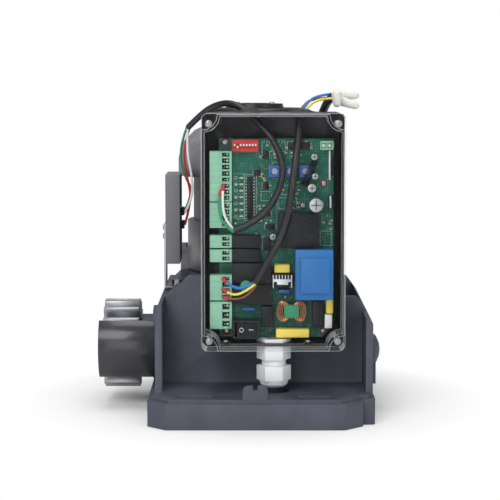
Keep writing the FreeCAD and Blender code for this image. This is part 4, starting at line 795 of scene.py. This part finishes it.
class GATEMOTOR_OT_terminals(Step, Operator):
    """Builds the terminal blocks way by way, with clamps and screws"""

    bl_idname = "gate_motor.terminals"
    bl_label = "Terminals"

    def build(self, shapes, tint):
        rows = ((132.9, 5, 5.4), (117.4, 3, 5.4), (95, 4, 5.4), (78, 2, 5.4), (65.9, 2, 5.4), (33.2, 4, 5.4),
                (8.6, 3, 7.8))
        pieces = []
        for row in rows:
            pieces += self.row(*row)
        # The small header at the top right
        plastic = partial(mounted, "terminal_plastic")
        pieces += [plastic(85.7, 160.8, 11.4, 7.4, 0, 6.4, 0.3), plastic(85.7, 160.8, 11.4, 1.2, 6.2, 9, 0.3),
                   plastic(85.7, 166.8, 11.4, 1.4, 6.2, 9, 0.3)]
        pieces += [plastic(left, 160.8, 1.0, 7.4, 6.2, 9, 0.3) for left in (85.7, 90.9, 96.1)]
        pieces += [painted(drum(on_board(left, 164.4, 7.2), 1.5, 2.0, edge=0.2, sides=16), "tinned_lead")
                   for left in (88.8, 94.0)]
        finished("terminal_forms", pieces, replaces=("terminal_blocks",))

    def row(self, bottom, ways, pitch):
        """One block: its foot, back and lip, a rib beside each way, a seam line of painted shade between ways, and in
        each way a dark plate of painted shade for its wire hole, a tongue and a clamp.
        """
        left, tall, rib, seam = -7.8, pitch * ways, 0.26 * pitch, 0.24
        plastic = partial(mounted, "terminal_plastic")
        pieces = [plastic(left, bottom, 18.8, tall, 0, 7.6, 0.3), plastic(left, bottom, 10.6, tall, 7.4, 13, 0.3),
                  plastic(8.8, bottom, 2.2, tall, 7.4, 11.4, 0.3)]
        for way in range(ways + 1):
            # The first and the last rib end flush with the block
            low = bottom + way * pitch - (0.0, rib / 2, rib)[(way > 0) + (way == ways)]
            pieces.append(plastic(2.6, low, 6.6, rib, 7.4, 12.4, 0.25))
            if way:
                middle = low + rib / 2
                # A darker line of painted shade along the seam between two ways
                pieces.append(mounted("terminal_shade", left - 0.05, middle - seam / 2, 9.6, seam, 12.8, 13.02))
        for way in range(ways):
            middle = bottom + (way + 0.5) * pitch
            # A dark plate of painted shade stands for the wire hole
            pieces += [mounted("terminal_well", 2.9, middle - 0.34 * pitch, 5.8, 0.68 * pitch, 7.5, 7.9),
                       plastic(4.4, middle - 0.3, 1.2, 0.6, 7.8, 10.4, 0.1),
                       mounted("tinned_lead", 6.4, middle - 1.0, 1.8, 2.0, 7.8, 9.4, 0.3)]
        return pieces


class GATEMOTOR_OT_components(Step, Operator):
    """Finishes relays, transformer, capacitors and choke"""

    bl_idname = "gate_motor.components"
    bl_label = "Components"

    def build(self, shapes, tint):
        softened(["relays"], 0.5 * MM, "relay_black")
        softened(["transformer"], 0.8 * MM, "transformer_blue")
        self.capacitors()
        self.choke()

    def capacitors(self):
        films = ((46.9, 56.4, 13.5, 7.3, 0, 11), (48.4, 0.8, 28.5, 7.6, 0, 12), (91, 21.4, 6.3, 13, 0, 11))
        pieces = [mounted("film_yellow", *film, 1.2, 3) for film in films]
        # Left, bottom, radius and height of a can
        cans = ((80.8, 154.8, 3.2, 8), (81.6, 138.4, 3.1, 8), (78.7, 128.6, 4.4, 12), (82, 114.8, 7.1, 20),
                (71.4, 113.9, 2.1, 6), (46, 86.9, 3.2, 8))
        for left, bottom, radius, tall in cans:
            x, y, z = on_board(left, bottom)
            rim, arm, half = y - tall, radius * 0.6, 0.35
            sleeve = turned([(y, radius * 0.94), (rim + 1.4, radius * 0.96), (rim + 0.9, radius * 0.9),
                             (rim + 0.5, radius * 0.96), (rim, radius * 0.9)], (x, z), "Y", 28)
            pieces.append(painted(sleeve, "can_sleeve"))
            top = drum((x, rim + 0.1, z), radius * 0.8, 0.5, edge=0.1, sides=28)
            grooves = [block((x - wide, x + wide), (rim - 1, rim), (z - high, z + high))
                       for wide, high in ((arm, half), (half, arm))]
            pieces.append(painted(cut_from(top, *grooves), "can_top"))
        finished("capacitor_forms", pieces, replaces=("capacitors",))

    def choke(self):
        """A core on its dark foot, with bows of wire round both of its sides."""
        pieces = [mounted("ceramic_green", 55.2, 18.2, 12.9, 11.2, 0, 15, 1.0),
                  mounted("relay_black", 50.6, 17.4, 22.0, 12.8, 0, 8.5, 1.6)]
        for side in (-1, 1):
            for layer in range(4):
                wide, tall = 6.9 - 1.5 * layer, 8.4 - 0.9 * layer
                for height in (10.5, 13.0):
                    bow = [(-2.5, tall * 0.72), (0.2, tall), (wide * 0.62, tall), (wide, tall * 0.45),
                           (wide, -tall * 0.45), (wide * 0.62, -tall), (0.2, -tall), (-2.5, -tall * 0.72)]
                    turn = [on_board(61.6 + side * (5.2 + across), 23.8 + up, height) for across, up in bow]
                    pieces.append(line_piece(turn, [0.34] * len(turn), "winding_copper", 2, 4))
        finished("choke_forms", pieces, replaces=("choke",))


class GATEMOTOR_OT_switches(Step, Operator):
    """Finishes the switch row, the adjusters, the power switch and the magnetic limit switch"""

    bl_idname = "gate_motor.switches"
    bl_label = "Switches"

    def build(self, shapes, tint):
        softened(["dip_switch"], 0.2 * MM, "switch_red")
        dress("white_plastic", *[f"dip_slider_{index}" for index in range(1, 9)])
        softened(["trimmers"], 0.3 * MM, "trimmer_blue")
        for index in range(1, 4):
            self.adjuster(f"trimmer_rotor_{index}")
        softened(["rocker_frame"], 0.5 * MM, "shell_plastic")
        softened(["rocker"], 0.4 * MM, "component_black", "rocker")
        ring = hoop((0, 0, 0), 1.7, 0.25, "Y", 28, 6)
        ring.rotation_euler = (0, 0, math.radians(20))
        ring.location = Vector((-11.6, -109.05, 79.85)) * MM
        dash = block((-5.4, -1.6), (-107.7, -107.4), (79.6, 80.1))
        finished("rocker_marks", [painted(settled(ring), "white_plastic"), painted(dash, "white_plastic")],
                 "rocker")
        self.limit_switch(shapes)

    def adjuster(self, node):
        """A turned adjuster with a cross slot for a small screwdriver."""
        low, high = (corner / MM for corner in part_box(node))
        x, z, radius = (low.x + high.x) / 2, (low.z + high.z) / 2, (high.x - low.x) / 2
        disc = turned([(high.y, radius), (low.y + 0.3, radius), (low.y, radius * 0.86)], (x, z), "Y", 28)
        arms = [block((x - wide, x + wide), (low.y - 1, low.y + 0.7), (z - tall, z + tall))
                for wide, tall in ((radius * 0.85, 0.42), (0.42, radius * 0.85))]
        finished(node + "_form", [painted(cut_from(disc, *arms), "adjuster_white")],
                 node.replace("_rotor", ""), replaces=(node,))

    def limit_switch(self, shapes):
        """The box on the shoulder, its bracket, and its board with dark parts on the green."""
        softened(["limit_box"], shapes.moulded_edge, "limit_plastic")
        softened(["limit_bracket"], 0.3 * MM, "zinc_plate")
        board = painted(rounded("limit_board", 0.2 * MM), "board_mask")
        recoloured(board, "component_black", lambda centre, normal: centre.x > -70.1)
        finished("limit_board_form", [board], replaces=("limit_board",))


class GATEMOTOR_OT_fasteners(Step, Operator):
    """Replaces the screws with ones that have domed heads and driver recesses"""

    bl_idname = "gate_motor.fasteners"
    bl_label = "Fasteners"

    def build(self, shapes, tint):
        low, high = (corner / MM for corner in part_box("box_lid"))
        # Seat, axis and way it looks, then the head's radius and height and the shank's radius and length
        screws = [((x, -133.0, z), "Y", -1, 3.0, 2.0, 1.6, 40)
                  for x in (low.x + 6.5, high.x - 6.5) for z in (low.z + 8.5, high.z - 8.5)]
        screws += [(on_board(*place), "Y", -1, 2.8, 1.6, 1.35, 8) for place in BOARD_SCREWS]
        screws += [((x, -65.5, z), "Y", -1, 3.5, 2.2, 1.9, 9) for x in (-15.2, 34.8) for z in (72.5, 110.0)]
        screws += [((-81.5, -4.0, z), "X", -1, 2.8, 1.8, 1.4, 4) for z in (150.0, 158.0)]
        screws += [((x, CAP_Y, CAP_TOP), "Z", 1, 2.6, 1.6, 1.35, 22) for x in (-16.0, 16.0)]
        heads = [self.pan_head(*screw) for screw in screws]
        finished("pan_head_forms", heads, replaces=("pan_head_screws",))
        dress("zinc_plate", "cap_head_screws")
        lone = [self.pan_head((x, TABS_Y, TABS_TOP), "Z", 1, 2.4, 1.4, 1.0, 1) for x in TABS_X]
        finished("floor_screws", lone)
        rings = [painted(hoop(on_board(*place, 0.1), 3.1, 0.25, "Y", 24, 6), "switch_red") for place in BOARD_SCREWS]
        finished("screw_rings", rings)

    def pan_head(self, seat, axis, way, radius, tall, shank, long):
        """A domed head with a cross recess, on a plain shank."""
        index = AXES[axis]
        others = [place for place in range(3) if place != index]
        at = seat[index]
        head = turned([(at, radius), (at + way * tall * 0.4, radius), (at + way * tall * 0.75, radius * 0.86),
                       (at + way * tall * 0.95, radius * 0.55), (at + way * tall, radius * 0.2)],
                      [seat[other] for other in others], axis, 24)
        arms, half = [], 0.28
        for other in others:
            spans = [(part - half, part + half) for part in seat]
            spans[other] = (seat[other] - radius * 0.6, seat[other] + radius * 0.6)
            spans[index] = sorted((at + way * tall * 0.5, at + way * (tall + 1)))
            arms.append(block(*spans))
        cut_from(head, *arms)
        middle = list(seat)
        middle[index] = at - way * long / 2
        return joined([painted(head, "zinc_plate"), painted(drum(middle, shank, long, axis, sides=12), "zinc_plate")])


def tube(name, points, radius, fine, around, shares=()):
    """A NURBS tube along points in metres. Its radius may be multiplied by a share at each point."""
    curve = bpy.data.curves.new(name, "CURVE")
    curve.dimensions = "3D"
    curve.resolution_u = fine
    curve.bevel_depth = radius
    curve.bevel_resolution = around
    curve.use_fill_caps = True
    spline = curve.splines.new("NURBS")
    spline.points.add(len(points) - 1)
    for point, place in zip(spline.points, points):
        point.co = (*place, 1.0)
    for point, share in zip(spline.points, shares):
        point.radius = share
    spline.order_u = 3
    spline.use_endpoint_u = True
    return linked(bpy.data.objects.new(name, curve))


def line_piece(points, radii, finish, around=4, fine=4):
    """A mesh tube along points in millimetres whose radius changes from point to point."""
    active(tube("line", [Vector(place) * MM for place in points], MM, fine, around, radii))
    bpy.ops.object.convert(target="MESH")
    return painted(bpy.context.object, finish)


class GATEMOTOR_OT_cables(Step, Operator):
    """Lays the cables and wires and puts the crimp caps on"""

    bl_idname = "gate_motor.cables"
    bl_label = "Cables"

    def build(self, shapes, tint):
        for node, route in CABLES.items():
            self.lay(node + "_line", route, getattr(shapes, node), "black", "medium", node)
        for index, (tone, route) in enumerate(WIRES, 1):
            self.lay(f"wire_{index}_{tone}", route, shapes.wire, tone, "limp", "cable_wires")
        ferrules = []
        # The wires that end in the terminals
        for _, route in WIRES[:2] + WIRES[5:8]:
            end, before = Vector(route[-1]) / MM, Vector(route[-2]) / MM
            back = (before - end).normalized()
            ferrules.append(line_piece([end - back, end + back * 1.5, end + back * 4.5], [1.6, 1.6, 1.45],
                                       "jacket_red", 4, 2))
        finished("ferrules", ferrules)
        steps = (0, 0.05, 0.3, 0.6, 0.85, 0.96, 1)
        radii = (3.9, 4.3, 4.2, 3.7, 3.2, 2.4, 0.9)
        caps = [line_piece([Vector(start).lerp(Vector(end), step) for step in steps], radii, "cap_nylon", 5, 6)
                for start, end in CRIMP_CAPS]
        finished("crimp_cap_forms", caps, replaces=("crimp_caps",))

    def lay(self, name, route, diameter, tone, stiffness, node):
        """A cable or wire as a smooth line through its route."""
        piece = painted(tube(name, route, diameter / 2, 10, 4), "jacket_" + tone)
        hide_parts(node)
        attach(piece, "base")


# Routes of the cables and wires, in metres, as in the solids
CABLES = {
    "limit_cable": [(-0.018, -0.106, 0.164), (-0.005, -0.106, 0.169), (0.010, -0.107, 0.181), (0.021, -0.107, 0.199),
                    (0.024, -0.106, 0.219), (0.016, -0.100, 0.240), (0.004, -0.092, 0.253), (-0.008, -0.085, 0.265),
                    (-0.022, -0.075, 0.272), (-0.037, -0.056, 0.268), (-0.049, -0.038, 0.259),
                    (-0.059, -0.020, 0.249)],
    "motor_cable": [(0.000, -0.107, 0.120), (0.011, -0.109, 0.139), (0.021, -0.110, 0.158), (0.028, -0.110, 0.180),
                    (0.031, -0.110, 0.202), (0.034, -0.106, 0.224), (0.037, -0.097, 0.244), (0.038, -0.088, 0.262)],
    "motor_lead": [(0.054, 0.011, 0.226), (0.054, -0.004, 0.227), (0.054, -0.018, 0.233), (0.055, -0.030, 0.244),
                   (0.057, -0.042, 0.256), (0.060, -0.054, 0.266), (0.063, -0.066, 0.273), (0.0655, -0.078, 0.276)],
}
WIRES = [
    ("white", [(-0.018, -0.105, 0.165), (-0.025, -0.107, 0.172), (-0.028, -0.108, 0.188), (-0.027, -0.104, 0.202)]),
    ("green", [(-0.018, -0.107, 0.163), (-0.028, -0.109, 0.170), (-0.031, -0.109, 0.186), (-0.029, -0.104, 0.197)]),
    ("green", [(-0.0605, -0.0176, 0.249), (-0.068, -0.012, 0.230), (-0.064, -0.009, 0.206), (-0.055, -0.009, 0.190),
               (-0.063, -0.012, 0.174)]),
    ("red", [(-0.058, -0.0184, 0.249), (-0.064, -0.016, 0.230), (-0.062, -0.014, 0.208), (-0.056, -0.014, 0.184),
             (-0.063, -0.015, 0.161)]),
    ("white", [(-0.0596, -0.0206, 0.248), (-0.061, -0.020, 0.228), (-0.056, -0.019, 0.204), (-0.056, -0.018, 0.184),
               (-0.063, -0.017, 0.172)]),
    ("blue", [(0.000, -0.106, 0.121), (-0.009, -0.107, 0.115), (-0.020, -0.107, 0.116), (-0.027, -0.104, 0.123)]),
    ("yellow", [(0.000, -0.108, 0.119), (-0.009, -0.109, 0.112), (-0.020, -0.108, 0.109), (-0.027, -0.104, 0.114)]),
    ("brown", [(0.001, -0.106, 0.118), (-0.006, -0.106, 0.109), (-0.017, -0.106, 0.105), (-0.026, -0.104, 0.107)]),
    ("blue", [(0.039, -0.086, 0.263), (0.044, -0.084, 0.272), (0.054, -0.081, 0.278), (0.068, -0.073, 0.279)]),
    ("yellow", [(0.040, -0.0886, 0.262), (0.046, -0.087, 0.270), (0.056, -0.085, 0.275), (0.069, -0.082, 0.275)]),
    ("brown", [(0.037, -0.085, 0.263), (0.043, -0.081, 0.272), (0.052, -0.077, 0.275), (0.068, -0.072, 0.276)]),
]
# Start and end of each cap, in millimetres
CRIMP_CAPS = [((67, -72, 278.5), (89, -72, 277)), ((68, -81, 274.5), (88.5, -84, 268)),
              ((68.6, -91, 280), (69.3, -93.5, 268))]


class GATEMOTOR_OT_stage(Step, Operator):
    """Sets the floor, the lights and the camera"""

    bl_idname = "gate_motor.stage"
    bl_label = "Stage"

    def build(self, shapes, tint):
        self.floor()
        self.lights()
        camera = bpy.data.cameras.new("camera")
        camera.lens, camera.sensor_width = 119.9, 36.0
        camera.clip_end = 20.0
        view = linked(bpy.data.objects.new("camera", camera))
        view.location = (-0.0044, -1.5055, 0.2949)
        look_down = 6.0
        view.rotation_euler = (math.radians(90.0 - look_down), 0.0, 0.0)
        bpy.context.scene.camera = view
        bpy.context.scene.view_settings.view_transform = "Standard"

    def floor(self):
        idle()
        bpy.ops.mesh.primitive_plane_add(size=12.0)
        piece = bpy.context.object
        piece.name = "studio_floor"
        finish = Finish("floor_white", roughness=0.7)
        finish.surface(Base_Color=code("F2F2F2"))
        across, deep = finish.along("X"), finish.along("Y")
        seen = finish.node("ShaderNodeLightPath", {}, {}, "Is Camera Ray")
        far = (across * across + deep * deep).limited(0.009, 0.045) * seen
        light = finish.node("ShaderNodeEmission", {}, {"Color": (1.0, 1.0, 1.0, 1.0), "Strength": 1.0})
        finish.show(far, finish.solid, light)
        painted(piece, "floor_white")

    def lights(self):
        world = bpy.data.worlds.new("studio")
        bpy.context.scene.world = world
        world.use_nodes = True
        tree = Nodes(world.node_tree)
        seen, through = (tree.node("ShaderNodeLightPath", {}, {}, ray)
                         for ray in ("Is Camera Ray", "Is Transmission Ray"))
        # White where it is seen, also through the lid, and dimmer where it only lights the object
        strength = tree.node("ShaderNodeMapRange", {}, {"Value": seen.math("MAXIMUM", through), "To Min": 0.32})
        tree.feed(tree.nodes["Background"], {"Strength": strength, "Color": (1.0, 1.0, 1.0)})
        middle = Vector((0.0, -0.02, 0.15))
        for name, place, size, power in (("key", (-0.7, -1.5, 1.5), 1.0, 17.0), ("fill", (1.3, -1.2, 0.9), 1.0, 7.0),
                                         ("top", (0.0, 0.1, 1.8), 1.2, 15.0), ("low", (-0.4, -1.8, 0.4), 0.8, 4.0)):
            lamp = bpy.data.lights.new(name, "AREA")
            lamp.size, lamp.energy = size, power
            holder = linked(bpy.data.objects.new(name, lamp))
            holder.location = place
            holder.rotation_euler = (middle - Vector(place)).to_track_quat("-Z", "Y").to_euler()


class GATEMOTOR_PT_panel(Panel):
    """Shows the sizes, the colours and the steps of the gate motor"""

    bl_idname = "GATEMOTOR_PT_panel"
    bl_label = "Gate motor"
    bl_space_type = "VIEW_3D"
    bl_region_type = "UI"
    bl_category = "Gate motor"

    def draw(self, context):
        for group in (context.scene.gate_motor_shapes, context.scene.gate_motor_colours):
            for name in group.__annotations__:
                self.layout.prop(group, name)
        for operator in OPERATORS:
            self.layout.operator(operator.bl_idname)


# In the order of their classes above
OPERATORS = tuple(Step.__subclasses__())
CLASSES = (MotorShapes, MotorColours, *OPERATORS, GATEMOTOR_PT_panel)


def register():
    for item in CLASSES:
        bpy.utils.register_class(item)
    bpy.types.Scene.gate_motor_shapes = PointerProperty(type=MotorShapes)
    bpy.types.Scene.gate_motor_colours = PointerProperty(type=MotorColours)


def unregister():
    del bpy.types.Scene.gate_motor_colours
    del bpy.types.Scene.gate_motor_shapes
    for item in reversed(CLASSES):
        bpy.utils.unregister_class(item)


def main():
    register()
    for operator in OPERATORS:
        getattr(bpy.ops.gate_motor, operator.bl_idname.split(".")[1])()


if __name__ == "__main__":
    main()
